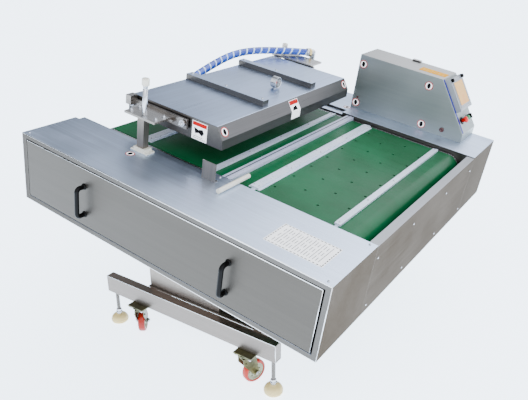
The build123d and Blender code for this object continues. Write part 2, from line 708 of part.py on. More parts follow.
with BuildPart(table) as gauge_needle:
    span_box((gauge_x - 6, gauge_x - 5), (gauge_y - 1.2, gauge_y + 1.2), (gauge_z - 6, gauge_z + 17))
    bar_x(3.5, (gauge_x - 7, gauge_x - 4), gauge_y, gauge_z)
save(gauge_needle, "gauge_needle")

# The vacuum hose runs from an elbow behind the lid, round its back edge, to a riser on the far
# housing. Its route is straight runs joined by tangent arcs.
hose_radius = 18
hose_route = [
    (-1216, -70, 146),
    (-1240, 110, 178),
    (-1228, 300, 212),
    (-1150, 500, 212),
    (-1040, 648, 206),
]
route_points = [table.from_local_coords(Vector(*point)) for point in hose_route]
runs = [b - a for a, b in zip(route_points, route_points[1:])]
arc_radii = []
for before, after in zip(runs, runs[1:]):
    shorter = min(before.length, after.length)
    arc_radii.append(0.45 * shorter / tan(radians(before.get_angle(after) / 2)))
print("hose arc radii:", [round(radius) for radius in arc_radii])
with BuildPart() as vacuum_hose:
    with BuildLine() as hose_line:
        FilletPolyline(*route_points, radius=arc_radii)
    with BuildSketch(Plane(origin=hose_line.line @ 0, z_dir=hose_line.line % 0)):
        Circle(hose_radius)
    sweep(path=hose_line.line)
hose_length = hose_line.wires()[0].length
hose_fill = vacuum_hose.part.volume / (pi * hose_radius**2 * hose_length)
print("hose length:", round(hose_length), "volume ratio:", round(hose_fill, 4))
save(vacuum_hose, "vacuum_hose")

# Elbow behind the lid: a block on the rear wall and a spigot into the hose's end face.
first_run = runs[0].normalized()
last_run = runs[-1].normalized()
with BuildPart(table) as lid_port:
    span_box((lid_x[0] - 30, lid_x[0] - 0.2), (port_y - 26, port_y + 26), port_z)
    with BuildSketch(Plane(origin=route_points[0] - first_run * 50, z_dir=first_run)):
        Circle(13)
    extrude(amount=49.8)
    bar_x(port_radius, (lid_x[0] - 20, lid_x[0]), *port_hole, Mode.SUBTRACT)
save(lid_port, "lid_port")

riser_radius = 17
with BuildPart(table) as hose_riser:
    bend = table.to_local_coords(route_points[-1] + last_run * 40)
    with BuildSketch(Plane(origin=route_points[-1] + last_run * 0.2, z_dir=last_run)):
        Circle(riser_radius)
    extrude(amount=44)
    bar_z(riser_radius, bend.X, bend.Y, (0.2, bend.Z))
    with Locations((bend.X, bend.Y, bend.Z)):
        Sphere(riser_radius)
    bar_z(32, bend.X, bend.Y, (0.2, 8))
save(hose_riser, "hose_riser")

# ---------------------------------------------------------------- pieces on the near housing
with BuildPart(table) as sensor_bracket:
    span_box((-710, -646), (-592, -589), (0.2, 74))
    span_box((-710, -646), (-589, -574), (0.2, 3.2))
save(sensor_bracket, "sensor_bracket")

# White nylon rod across the housing's inner edge, reaching over the belt.
guide_radius = 9.5
with BuildPart(table) as guide_rod:
    bar_y(guide_radius, -585, (-648, -460), guide_radius + 0.3)
save(guide_rod, "guide_rod")

# ---------------------------------------------------------------- control cabinet
# Slanted front: sketch x is across, sketch y runs up the slope, the normal points to the operator.
slope_top = table.from_local_coords(Vector(-277, 0, 273))
slope_bottom = table.from_local_coords(Vector(-112, 0, 42))
slope_up = (slope_top - slope_bottom).normalized()
front = Plane(origin=slope_bottom, x_dir=(0, 1, 0), z_dir=Vector(0, 1, 0).cross(slope_up))
button_y = 62
button_travel = 4
control_x = (696, 744, 790)
stem_size = 8
cabinet_profile = ((-718, 0.2), (-718, 281), (-277, 273), (-112, 42), (-112, 0.2))
cabinet_hollow = ((-716, 2.2), (-716, 278.9), (-278, 271), (-114, 41.4), (-114, 2.2))
door_x = (-690, -300)
door_z = (24, 250)
with BuildPart(table) as cabinet_shell:
    with BuildSketch(side_plane(cabinet_y[1])):
        Polygon(*cabinet_profile, align=None)
    extrude(amount=cabinet_y[1] - cabinet_y[0])
    with BuildSketch(side_plane(cabinet_y[1] - 2)):
        Polygon(*cabinet_hollow, align=None)
    extrude(amount=cabinet_y[1] - cabinet_y[0] - 4, mode=Mode.SUBTRACT)
    span_box(door_x, (cabinet_y[1] - 3, cabinet_y[1] + 1), door_z, Mode.SUBTRACT)
    with BuildSketch(front):
        for x in control_x:
            with Locations((x, button_y)):
                Circle(stem_size + running_gap)
    extrude(amount=4, both=True, mode=Mode.SUBTRACT)
save(cabinet_shell, "cabinet_shell")

with BuildPart(table) as cabinet_door:
    panel = (door_x[0] - 6, door_x[1] + 6)
    span_box(panel, (cabinet_y[1] + 0.4, cabinet_y[1] + 2.4), (door_z[0] - 6, door_z[1] + 6))
    bar_z(3, door_x[0] - 10, cabinet_y[1] + 3.6, (door_z[0] + 10, door_z[0] + 60))
    bar_z(3, door_x[0] - 10, cabinet_y[1] + 3.6, (door_z[1] - 60, door_z[1] - 10))
    for z in ((door_z[0] + 10, door_z[0] + 60), (door_z[1] - 60, door_z[1] - 10)):
        span_box((door_x[0] - 10, door_x[0]), (cabinet_y[1] + 1.4, cabinet_y[1] + 2.4), z)
    bar_y(9, door_x[1] - 12, (cabinet_y[1] + 2, cabinet_y[1] + 3.8), 140)
save(cabinet_door, "cabinet_door")

panel_depth = 26
with BuildPart(front) as hmi_panel:
    span_box((664, 826), (108, 272), (0.2, panel_depth))
    span_box((678, 810), (124, 256), (panel_depth - 1, panel_depth + 2))
    span_box((682, 806), (128, 252), (panel_depth + 1, panel_depth + 3), Mode.SUBTRACT)
    for x in (676, 812):
        bar_z(7, x, 262, (panel_depth, panel_depth + 8))
save(hmi_panel, "hmi_panel")

buttons = {"stop_button": (control_x[0], 16, 26), "start_button": (control_x[1], 11, 14)}
for button_name, (x, radius, height) in buttons.items():
    with BuildPart(front) as button:
        bar_z(radius, x, button_y, (button_travel + 1.5, height + button_travel + 1.5))
        bar_z(stem_size, x, button_y, (-5, button_travel + 2))
    save(button, button_name)

with BuildPart(front) as selector_knob:
    bar_z(12, control_x[2], button_y, (0.3, 10))
    bar_z(stem_size, control_x[2], button_y, (-5, 1))
    span_box((control_x[2] - 4, control_x[2] + 4), (button_y - 12, button_y + 12), (9, 22))
save(selector_knob, "selector_knob")
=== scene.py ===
from itertools import product
from math import cos, pi, radians, sin, sqrt

import bmesh
import bpy
from mathutils import Matrix, Vector


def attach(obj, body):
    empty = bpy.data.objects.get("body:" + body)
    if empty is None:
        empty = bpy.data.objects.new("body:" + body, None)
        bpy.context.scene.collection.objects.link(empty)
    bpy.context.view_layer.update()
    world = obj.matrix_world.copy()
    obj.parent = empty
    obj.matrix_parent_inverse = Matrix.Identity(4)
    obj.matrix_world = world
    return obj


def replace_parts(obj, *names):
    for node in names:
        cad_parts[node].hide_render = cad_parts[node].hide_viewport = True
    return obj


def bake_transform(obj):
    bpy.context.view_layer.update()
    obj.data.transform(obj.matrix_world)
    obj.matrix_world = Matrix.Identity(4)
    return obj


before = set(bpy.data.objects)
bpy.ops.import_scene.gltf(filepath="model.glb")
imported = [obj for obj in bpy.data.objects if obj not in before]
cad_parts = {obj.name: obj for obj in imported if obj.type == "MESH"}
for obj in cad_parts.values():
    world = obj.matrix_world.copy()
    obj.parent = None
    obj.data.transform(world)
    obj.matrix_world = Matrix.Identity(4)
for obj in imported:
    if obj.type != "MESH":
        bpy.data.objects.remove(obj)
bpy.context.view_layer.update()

# Lengths in the helpers are millimetres in a local frame; the meshes are written in metres.
MM = 0.001
# Segments round a turned form.
ROUND = 32

# The table's frame: its origin on the top of the low end, x along it to the low end, z off its top.
TILT = radians(9.09)
TABLE_X = 732.44
TABLE_Z = 716
X_AXIS = Vector((cos(TILT), 0, -sin(TILT)))
Y_AXIS = Vector((0, 1, 0))
Z_AXIS = Vector((sin(TILT), 0, cos(TILT)))

# Directions in either local frame, and the near and far side.
ALONG = (1, 0, 0)
ACROSS = (0, 1, 0)
UP = (0, 0, 1)
SIDES = (-1, 1)


def frame_matrix(origin, x_axis, y_axis, z_axis):
    """A matrix from local millimetres to metres in the row frame."""
    m = Matrix.Identity(4)
    for column, axis in enumerate((x_axis, y_axis, z_axis)):
        for row in range(3):
            m[row][column] = axis[row] * MM
    for row in range(3):
        m[row][3] = origin[row] * MM
    return m


WORLD = frame_matrix((0, 0, 0), ALONG, ACROSS, UP)
TABLE = frame_matrix((TABLE_X, 0, TABLE_Z), X_AXIS, Y_AXIS, Z_AXIS)

# The cabinet's slanted front: u across, v up the slope, w out of it.
SLOPE_BOTTOM = (-112, 42)
SLOPE_TOP = (-277, 273)
slope = Vector((SLOPE_TOP[0] - SLOPE_BOTTOM[0], SLOPE_TOP[1] - SLOPE_BOTTOM[1])).normalized()
FRONT_UP = X_AXIS * slope[0] + Z_AXIS * slope[1]
FRONT_OUT = Y_AXIS.cross(FRONT_UP)
front_origin = TABLE @ Vector((SLOPE_BOTTOM[0], 0, SLOPE_BOTTOM[1])) / MM
FRONT = frame_matrix(front_origin, Y_AXIS, FRONT_UP, FRONT_OUT)


# ---------------------------------------------------------------- materials
def srgb(r, g, b):
    """Linear colour from 0-255 display values."""
    out = []
    for v in (r, g, b):
        v /= 255
        out.append(v / 12.92 if v <= 0.04045 else ((v + 0.055) / 1.055) ** 2.4)
    return (*out, 1)


class Shader:
    """Short calls for building one material's node tree."""

    def __init__(self, name):
        self.mat = bpy.data.materials.new(name)
        self.mat.use_nodes = True
        self.tree = self.mat.node_tree
        self.bsdf = self.tree.nodes["Principled BSDF"]

    def link(self, a, b):
        self.tree.links.new(a, b)

    def coords(self, scale=(1, 1, 1), tilted=True):
        c = self.tree.nodes.new("ShaderNodeTexCoord")
        turn = self.tree.nodes.new("ShaderNodeMapping")
        turn.inputs["Rotation"].default_value = (0, -TILT if tilted else 0, 0)
        self.link(c.outputs["Object"], turn.inputs["Vector"])
        size = self.tree.nodes.new("ShaderNodeMapping")
        size.inputs["Scale"].default_value = scale
        self.link(turn.outputs["Vector"], size.inputs["Vector"])
        return size.outputs["Vector"]

    def noise(self, vector, scale, detail=3, rough=0.55):
        n = self.tree.nodes.new("ShaderNodeTexNoise")
        n.inputs["Scale"].default_value = scale
        n.inputs["Detail"].default_value = detail
        n.inputs["Roughness"].default_value = rough
        self.link(vector, n.inputs["Vector"])
        return n.outputs["Fac"]

    def ramp(self, value, low, high, out_low=0.0, out_high=1.0):
        n = self.tree.nodes.new("ShaderNodeMapRange")
        n.interpolation_type = "SMOOTHSTEP"
        for key, v in (("From Min", low), ("From Max", high), ("To Min", out_low), ("To Max", out_high)):
            n.inputs[key].default_value = v
        self.link(value, n.inputs["Value"])
        return n.outputs["Result"]

    def math(self, op, a, b):
        n = self.tree.nodes.new("ShaderNodeMath")
        n.operation = op
        for socket, v in zip(n.inputs, (a, b)):
            if hasattr(v, "is_output"):
                self.link(v, socket)
            else:
                socket.default_value = v
        return n.outputs[0]

    def mix(self, factor, a, b, blend="MIX"):
        n = self.tree.nodes.new("ShaderNodeMix")
        n.data_type = "RGBA"
        n.blend_type = blend
        # The node's colour sockets come after those for floats and vectors.
        for index, v in ((0, factor), (6, a), (7, b)):
            if hasattr(v, "is_output"):
                self.link(v, n.inputs[index])
            else:
                n.inputs[index].default_value = v
        return n.outputs[2]

    def grey(self, value):
        n = self.tree.nodes.new("ShaderNodeCombineColor")
        for socket in n.inputs:
            self.link(value, socket)
        return n.outputs[0]

    def bump(self, height, strength, distance):
        n = self.tree.nodes.new("ShaderNodeBump")
        n.inputs["Strength"].default_value = strength
        n.inputs["Distance"].default_value = distance
        self.link(height, n.inputs["Height"])
        self.link(n.outputs["Normal"], self.bsdf.inputs["Normal"])

    def set(self, **values):
        for key, v in values.items():
            socket = self.bsdf.inputs[key.replace("_", " ")]
            if hasattr(v, "is_output"):
                self.link(v, socket)
            else:
                socket.default_value = v


# Painted reflection: a dark specular tint stands in for dark surroundings reflected in sheets seen along
# their faces.
PAINTED_GRAZING_REFLECTION = (0.25, 0.24, 0.23, 1)


def steel(name, side, top=None, grain="x", rough=0.30, tilted=True, streak=0.16, end=None):
    """Brushed sheet: streaks along the grain and soft clouds. top is the tone of faces that look up, and
    end the tone of faces that look along the table towards its low end; both are painted light, standing in
    for how light falls on those faces."""
    s = Shader(name)
    fine = {"x": (3, 420, 420), "y": (420, 3, 420), "z": (420, 420, 3)}[grain]
    lines = s.noise(s.coords(fine, tilted), 1, 4, 0.6)
    broad = {"x": (1.2, 60, 60), "y": (60, 1.2, 60), "z": (60, 60, 1.2)}[grain]
    bands = s.noise(s.coords(broad, tilted), 1, 2)
    clouds = s.noise(s.coords(tilted=tilted), 3.2, 3)
    tone = srgb(*side)
    # Painted light: faces that look up take the top tone, and faces towards the low end the end tone.
    if top:
        geometry = s.tree.nodes.new("ShaderNodeNewGeometry")
        split = s.tree.nodes.new("ShaderNodeSeparateXYZ")
        s.link(geometry.outputs["Normal"], split.inputs[0])
        tone = s.mix(s.ramp(split.outputs["Z"], 0.35, 0.85), tone, srgb(*top))
        if end:
            tone = s.mix(s.ramp(split.outputs["X"], 0.5, 0.9), tone, srgb(*end))
            # Painted reflection: a dark specular tint on these sheets.
            s.set(Specular_Tint=PAINTED_GRAZING_REFLECTION)
    streaks = s.ramp(lines, 0.25, 0.75, 1 - streak / 2, 1 + streak / 2)
    shade = s.math("ADD", streaks, s.ramp(bands, 0.3, 0.7, -0.03, 0.03))
    shade = s.math("ADD", shade, s.ramp(clouds, 0.3, 0.7, -0.05, 0.05))
    s.set(Base_Color=s.mix(1, tone, s.grey(shade), "MULTIPLY"), Metallic=1.0)
    gloss = s.ramp(lines, 0.2, 0.8, rough - 0.05, rough + 0.07)
    s.set(Roughness=s.math("ADD", gloss, s.ramp(clouds, 0.3, 0.7, -0.04, 0.04)))
    s.bump(lines, 0.12, 0.0004)
    return s.mat


def plain(name, colour, rough, metallic=0.0, speckle=(90, 0.12), bump=0.1, coat=0.0, distance=0.0004,
          second=None, specular=0.5):
    """Moulded, painted or cast material with fine variation in tone, roughness and surface. speckle is
    the scale and the strength of its spots, and second a tone that broad clouds bring in."""
    s = Shader(name)
    spots = s.noise(s.coords(), speckle[0], 4)
    broad = s.noise(s.coords(), 7, 3)
    half = speckle[1] / 2
    tone = srgb(*colour)
    if second:
        tone = s.mix(s.ramp(broad, 0.35, 0.65), tone, srgb(*second))
    spotted = s.ramp(spots, 0.3, 0.7, 1 - half, 1 + half)
    shade = s.math("ADD", spotted, s.ramp(broad, 0.3, 0.7, -0.05, 0.05))
    s.set(Base_Color=s.mix(1, tone, s.grey(shade), "MULTIPLY"))
    s.set(Metallic=metallic, Coat_Weight=coat, Specular_IOR_Level=specular)
    s.set(Roughness=s.ramp(spots, 0.25, 0.75, rough - 0.05, rough + 0.08))
    s.bump(spots, bump, distance)
    return s.mat


def belt_green():
    """Smooth PVC belt: a faint weave from its fabric core under a glossy skin, with rubbed streaks."""
    s = Shader("belt PVC")
    weave = s.noise(s.coords((900, 900, 900)), 1, 2)
    rubbed = s.noise(s.coords((2, 26, 26)), 1, 3)
    broad = s.noise(s.coords(), 4, 3)
    tone = s.mix(s.ramp(broad, 0.3, 0.7), srgb(0, 74, 38), srgb(0, 88, 50))
    tone = s.mix(s.ramp(rubbed, 0.55, 0.8, 0, 0.35), tone, srgb(6, 94, 58))
    s.set(Base_Color=tone, Metallic=0.0, Coat_Weight=0.0, Specular_IOR_Level=0.13)
    s.set(Roughness=s.math("ADD", s.ramp(weave, 0.3, 0.7, 0.26, 0.34), s.ramp(rubbed, 0.4, 0.8, 0, 0.08)))
    s.bump(weave, 0.15, 0.0002)
    return s.mat


# Bands that a wave texture draws in a metre at a scale of 1.
WAVE_BANDS = 20 / (2 * pi)


def threaded(name, colour, pitch):
    """Steel rod with a cut thread shown by fine rings along its upright axis, the grooves darkened as
    painted shade.
    """
    s = Shader(name)
    c = s.tree.nodes.new("ShaderNodeTexCoord")
    wave = s.tree.nodes.new("ShaderNodeTexWave")
    wave.bands_direction = "Z"
    wave.inputs["Scale"].default_value = 1 / (pitch * MM) / WAVE_BANDS
    wave.inputs["Distortion"].default_value = 0
    s.link(c.outputs["Object"], wave.inputs["Vector"])
    # Painted shade: the thread's grooves take a darker tone of the steel.
    groove_shade = srgb(*[v * 0.55 for v in colour])
    s.set(Base_Color=s.mix(wave.outputs["Fac"], groove_shade, srgb(*colour)), Metallic=1.0, Roughness=0.36)
    s.bump(wave.outputs["Fac"], 0.8, 0.0008)
    return s.mat


# Tones are display values of 0 to 255. A steel has one for its sides and, where given, painted light: a
# tone for faces that look up and one for faces towards the low end.
M = {}
M["table_sheet"] = steel("housing sheet", (92, 89, 86), (212, 226, 248), rough=0.38,
                         end=(112, 106, 100))
M["cover_sheet"] = steel("cover sheet", (80, 76, 71), rough=0.42, streak=0.08)
M["board_sheet"] = steel("end board sheet", (60, 56, 52), (160, 162, 166), grain="y", rough=0.42,
                         end=(112, 106, 100))
M["lid_sheet"] = steel("lid sheet", (88, 84, 80), (176, 192, 218), grain="y", rough=0.33)
M["cabinet_sheet"] = steel("cabinet sheet", (146, 152, 150), (160, 159, 157), rough=0.44, streak=0.08)
M["tube"] = steel("tube stock", (124, 116, 110), (150, 136, 126), tilted=False, rough=0.36)
M["pedestal_sheet"] = steel("pedestal sheet", (140, 132, 124), grain="z", tilted=False, rough=0.38)
M["bright_steel"] = steel("bright steel", (132, 126, 120), (176, 174, 172), rough=0.26, streak=0.25)
M["cast_steel"] = steel("post steel", (132, 124, 116), (170, 168, 166), grain="z", rough=0.34,
                        streak=0.3)
# Near-white steel for the edge beads: a painted highlight.
M["edge"] = steel("painted highlight edge", (236, 238, 240), (246, 248, 250), rough=0.22, streak=0.04)
M["turned"] = plain("turned steel", (190, 192, 196), 0.22, 1.0, speckle=(260, 0.10), bump=0.05)
M["stud"] = threaded("threaded stud", (150, 146, 142), 2)
M["zinc"] = plain("yellow zinc plate", (112, 108, 74), 0.34, 0.9, speckle=(60, 0.25),
                  second=(78, 80, 72))
M["dark_paint"] = plain("dark machine paint", (42, 44, 48), 0.42, speckle=(220, 0.2), bump=0.25,
                        coat=0.3)
M["black"] = plain("black nylon", (3, 3, 3), 0.34, speckle=(500, 0.3), bump=0.1, distance=0.0001,
                   specular=0.10)
# Black rubber for gaskets and seals, also used as painted shade on the conveyor bed.
M["rubber_and_bed_shade"] = plain("black rubber", (28, 28, 29), 0.62, speckle=(400, 0.3), bump=0.3)
M["belt"] = belt_green()
M["bar"] = plain("bar enamel", (214, 222, 236), 0.30, 0.15, speckle=(120, 0.06),
                 second=(196, 208, 226), coat=0.2)
M["strip"] = plain("strip enamel", (196, 200, 218), 0.30, 0.1, speckle=(120, 0.08),
                   second=(176, 182, 204), coat=0.15)
M["tape"] = plain("sealing tape", (16, 16, 44), 0.42, speckle=(700, 0.25), bump=0.4)
M["nylon"] = plain("white nylon", (222, 220, 208), 0.40, speckle=(200, 0.06), bump=0.15,
                   second=(208, 204, 188))
M["cream"] = plain("cream nylon", (222, 200, 138), 0.42, speckle=(160, 0.10), bump=0.2,
                   second=(196, 170, 104))
M["tyre"] = plain("polyurethane tyre", (178, 34, 4), 0.34, speckle=(140, 0.12), bump=0.15,
                  coat=0.1, second=(140, 18, 2), specular=0.3)
M["hub"] = plain("wheel hub", (150, 152, 128), 0.40, 0.5, speckle=(120, 0.2), bump=0.2)
M["hose"] = plain("hose PVC", (0, 74, 186), 0.26, speckle=(80, 0.2), bump=0.1, coat=0.4,
                  second=(0, 50, 150))
M["hose_rib"] = plain("hose rib", (206, 226, 246), 0.30, speckle=(90, 0.08), coat=0.3)
M["brass"] = plain("brass", (196, 172, 118), 0.30, 1.0, speckle=(200, 0.15), bump=0.1)
M["hmi"] = plain("control panel case", (150, 152, 156), 0.34, 0.5, speckle=(380, 0.08), bump=0.2)
M["screen"] = plain("touch screen", (214, 164, 84), 0.2, speckle=(12, 0.06), bump=0.0,
                    second=(206, 140, 70), specular=0.2)
M["red"] = plain("red button", (196, 4, 4), 0.3, speckle=(120, 0.1), bump=0.05, coat=0.05, specular=0.2)
M["green"] = plain("green button", (0, 118, 62), 0.3, speckle=(120, 0.1), bump=0.05, coat=0.05,
                   specular=0.2)
M["film"] = plain("protective film", (4, 16, 120), 0.3, speckle=(60, 0.15), bump=0.05, specular=0.15)
M["paper"] = plain("label stock", (252, 252, 252), 0.5, speckle=(300, 0.04), bump=0.05)
# Painted light: the white print stock glows a little, so that it reads white among the bright sheets.
paper_glow_sockets = M["paper"].node_tree.nodes["Principled BSDF"].inputs
paper_glow_sockets["Emission Color"].default_value = (1, 1, 1, 1)
paper_glow_sockets["Emission Strength"].default_value = 0.5
M["ink"] = plain("label print", (14, 14, 16), 0.6, speckle=(300, 0.1), bump=0.02, specular=0.03)
M["print_grey"] = plain("label text print", (74, 76, 82), 0.6, speckle=(300, 0.1), bump=0.02,
                        specular=0.03)
M["label_red"] = plain("label red", (176, 8, 8), 0.5, speckle=(300, 0.1), bump=0.02, specular=0.08)
M["pink"] = plain("sticker ring", (176, 48, 48), 0.5, speckle=(300, 0.1), bump=0.02, specular=0.05)
M["yellow"] = plain("yellow label", (236, 170, 0), 0.5, speckle=(200, 0.1), bump=0.02,
                    second=(226, 146, 0), specular=0.02)
M["plug"] = plain("dark red plug", (70, 26, 24), 0.35, speckle=(120, 0.2), bump=0.1, coat=0.2)
M["dial"] = plain("dial face", (236, 236, 230), 0.4, speckle=(200, 0.04), bump=0.02)
M["needle"] = plain("needle paint", (190, 30, 26), 0.4, speckle=(200, 0.1), bump=0.02)

NODE_MATERIALS = {
    "table_sheet": ["near_housing", "far_housing"],
    "cover_sheet": ["near_side_cover", "far_side_cover"],
    "board_sheet": ["end_boards"],
    "lid_sheet": ["lid_shell", "stiffener_tubes"],
    "cabinet_sheet": ["cabinet_shell", "cabinet_door"],
    "tube": ["base_frame", "table_subframe"],
    "pedestal_sheet": ["pedestal", "base_pan"],
    "cast_steel": ["lift_posts", "sensor_bracket"],
    "bright_steel": ["lid_hangers", "lid_port"],
    "turned": ["pivot_shaft", "infeed_roller", "outfeed_roller", "motor_sprocket", "chains",
               "lift_cylinders", "hose_riser", "gauge_case"],
    "zinc": ["caster_plates"] + [f"caster_fork_{n}" for n in range(1, 5)],
    "dark_paint": ["vacuum_pump", "drive_gearmotor", "roller_bearings"],
    "black": ["near_cover_handles", "far_cover_handles", "tilt_lock_lever", "selector_knob"],
    # The gasket and seals are black rubber. The conveyor bed under the perforated belt takes the same black
    # as painted shade, so that the belt's holes read dark.
    "rubber_and_bed_shade": ["lid_gasket", "conveyor_bed"],
    "belt": ["conveyor_belt"],
    "bar": ["flight_bars", "upper_seal_bar"],
    "strip": ["seal_strip"],
    "nylon": ["post_guides", "guide_rod"],
    "hmi": ["hmi_panel"],
    "red": ["stop_button"],
    "green": ["start_button"],
    "needle": ["gauge_needle"],
}
for key, names in NODE_MATERIALS.items():
    for name in names:
        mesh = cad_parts[name].data
        if not mesh.materials:
            mesh.materials.append(M[key])
        for index in range(len(mesh.materials)):
            mesh.materials[index] = M[key]

# Folded and sawn edges catch the light through a small bevel, its width in millimetres. The CAD
# mesh's corners are welded first, at a distance in metres.
WELD_DISTANCE = 0.00001
BEVEL_ANGLE = radians(35)
BEVELS = {
    1.6: ["near_housing", "far_housing", "end_boards", "lid_shell", "cabinet_shell", "base_frame"],
    1.0: ["near_side_cover", "far_side_cover", "stiffener_tubes", "pedestal", "cabinet_door", "hmi_panel"],
    0.8: ["lid_hangers", "lift_posts", "post_guides", "guide_rod", "table_subframe", "vacuum_pump"],
}
for width, names in BEVELS.items():
    for name in names:
        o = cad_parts[name]
        weld = o.modifiers.new("weld", "WELD")
        weld.merge_threshold = WELD_DISTANCE
        bevel = o.modifiers.new("edges", "BEVEL")
        bevel.width = width * MM
        bevel.segments = 2
        bevel.limit_method = "ANGLE"
        bevel.angle_limit = BEVEL_ANGLE
        bevel.use_clamp_overlap = True
        bevel.harden_normals = False


# ---------------------------------------------------------------- mesh pieces
class Piece:
    """One detailed mesh, built from many small forms in a local frame, with several materials."""

    def __init__(self, name, frame_m, body):
        self.name, self.m, self.body = name.replace(" ", "_"), frame_m, body
        self.bm = bmesh.new()
        self.mats = []

    def paint(self, faces, key, smooth=False):
        """Gives faces one material, added to the piece when it's new there."""
        if key not in self.mats:
            self.mats.append(key)
        for f in faces:
            f.material_index = self.mats.index(key)
            f.smooth = smooth

    def box(self, lo, hi, key, edge=0.6):
        """A block with chamfered edges."""
        made = bmesh.ops.create_cube(self.bm, size=1)["verts"]
        for v in made:
            v.co = Vector([(a + b) / 2 + c * abs(b - a) for a, b, c in zip(lo, hi, v.co)])
        edges = list(dict.fromkeys(e for v in made for e in v.link_edges))
        faces = list(dict.fromkeys(f for v in made for f in v.link_faces))
        self.paint(faces, key)
        if edge:
            small = min(abs(b - a) for a, b in zip(lo, hi))
            offset = min(edge, small * 0.3)
            bmesh.ops.bevel(
                self.bm, geom=edges, offset=offset, segments=2, profile=0.7, affect="EDGES", material=-1)

    def lathe(self, base, axis, profile, key, segments=ROUND, smooth=True):
        """Turns (distance, radius) pairs about an axis from base."""
        axis = Vector(axis).normalized()
        side = axis.orthogonal().normalized()
        other = axis.cross(side)
        base = Vector(base)
        rings = []
        for d, r in profile:
            if r <= 0:
                rings.append([self.bm.verts.new(base + axis * d)])
                continue
            ring = []
            for k in range(segments):
                a = 2 * pi * k / segments
                ring.append(self.bm.verts.new(base + axis * d + (side * cos(a) + other * sin(a)) * r))
            rings.append(ring)
        for a, b in zip(rings, rings[1:]):
            faces = []
            for k in range(segments):
                j = (k + 1) % segments
                if len(a) == 1:
                    faces.append(self.bm.faces.new((a[0], b[j], b[k])))
                elif len(b) == 1:
                    faces.append(self.bm.faces.new((a[k], a[j], b[0])))
                else:
                    faces.append(self.bm.faces.new((a[k], a[j], b[j], b[k])))
            self.paint(faces, key, smooth)

    def cylinder(self, base, axis, length, radius, key, chamfer=0.6, segments=ROUND):
        c = min(chamfer, radius * 0.4, length * 0.4)
        half = [(0, 0), (0, radius - c), (c, radius)]
        profile = half + [(length - d, r) for d, r in half[::-1]]
        self.lathe(base, axis, profile, key, segments, smooth=False)

    def hexagon(self, base, axis, length, across, key):
        r = across / sqrt(3)
        profile = [(0, 0), (0, r * 0.96), (length * 0.08, r)]
        profile += [(length * 0.85, r), (length, r * 0.88), (length, 0)]
        self.lathe(base, axis, profile, key, 6, smooth=False)

    def bolt(self, base, axis, across, key="turned"):
        """Washer, hexagon head and the end of the thread."""
        self.cylinder(base, axis, across * 0.12, across * 0.95, key, 0.3, 24)
        top = Vector(base) + Vector(axis).normalized() * across * 0.1
        self.hexagon(top, axis, across * 0.62, across, key)
        tip = top + Vector(axis).normalized() * across * 0.6
        self.cylinder(tip, axis, across * 0.35, across * 0.3, key, 0.4, 16)

    def screw(self, base, axis, radius):
        """Domed head with a round recess."""
        dome = [(0, 0), (0, 1), (0.25, 1), (0.6, 0.8), (0.78, 0.5), (0.78, 0.42)]
        recess = [(0.35, 0.38), (0.35, 0)]
        profile = [(d * radius, r * radius) for d, r in dome + recess]
        self.lathe(base, axis, profile, "turned", 18, smooth=False)

    def plate(self, corners, thickness, key):
        """A thin polygon sheet: corners in order, thickness along its own normal."""
        pts = [Vector(c) for c in corners]
        normal = (pts[1] - pts[0]).cross(pts[2] - pts[1]).normalized() * thickness
        low = [self.bm.verts.new(p) for p in pts]
        high = [self.bm.verts.new(p + normal) for p in pts]
        faces = [self.bm.faces.new(high), self.bm.faces.new(low[::-1])]
        for k in range(len(pts)):
            j = (k + 1) % len(pts)
            faces.append(self.bm.faces.new((low[k], low[j], high[j], high[k])))
        self.paint(faces, key)

    def done(self):
        for v in self.bm.verts:
            v.co = self.m @ v.co
        bmesh.ops.recalc_face_normals(self.bm, faces=self.bm.faces)
        mesh = bpy.data.meshes.new(self.name)
        self.bm.to_mesh(mesh)
        self.bm.free()
        for key in self.mats:
            mesh.materials.append(M[key])
        o = bpy.data.objects.new(self.name, mesh)
        bpy.context.scene.collection.objects.link(o)
        if self.body:
            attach(o, self.body)
        return o


def rounded(cx, cy, half_x, half_y, radius, z):
    """Corners of a rounded rectangle at height z, anticlockwise."""
    steps = 5
    pts = []
    for sx, sy, start in ((1, 1, 0), (-1, 1, 90), (-1, -1, 180), (1, -1, 270)):
        for k in range(steps + 1):
            a = radians(start + 90 * k / steps)
            x = cx + sx * (half_x - radius) + radius * cos(a)
            y = cy + sy * (half_y - radius) + radius * sin(a)
            pts.append((x, y, z))
    return pts


# ---------------------------------------------------------------- feet and casters
FOOT_X = (-488.6, 380.4)
FOOT_Y = 620
# Profiles of turned forms are (distance along the axis, radius).
PAD = [(0, 0), (0, 35), (2, 37.6), (5, 38.5), (13, 38.4), (20, 36.8), (26, 33.6), (31, 28.2)]
PAD += [(34.5, 21.5), (36.5, 15), (38, 12.6), (39, 12), (39, 0)]
PAD_RING = [(11, 38.2), (12, 39), (14, 39), (15, 38)]
SOCKET_Z = 37
STEM_Z = 40
STEM_LENGTH = 165
WASHER_Z = 49.2
NUT_Z = 51


def draw_foot(number, x, y):
    """Nylon pad with its socket, threaded stem, washer and nut."""
    foot = Piece(f"foot {number}", WORLD, f"foot_{number}")
    foot.lathe((x, y, 0), UP, PAD, "cream", 48)
    foot.lathe((x, y, 0), UP, PAD_RING, "cream", 48)
    foot.cylinder((x, y, SOCKET_Z), UP, 11, 11.5, "turned", 1.5)
    foot.cylinder((x, y, STEM_Z), UP, STEM_LENGTH, 8, "stud", 1, 24)
    foot.hexagon((x, y, NUT_Z), UP, 12, 22, "turned")
    foot.cylinder((x, y, WASHER_Z), UP, 2, 14, "turned", 0.4)
    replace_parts(foot.done(), f"levelling_foot_{number}")


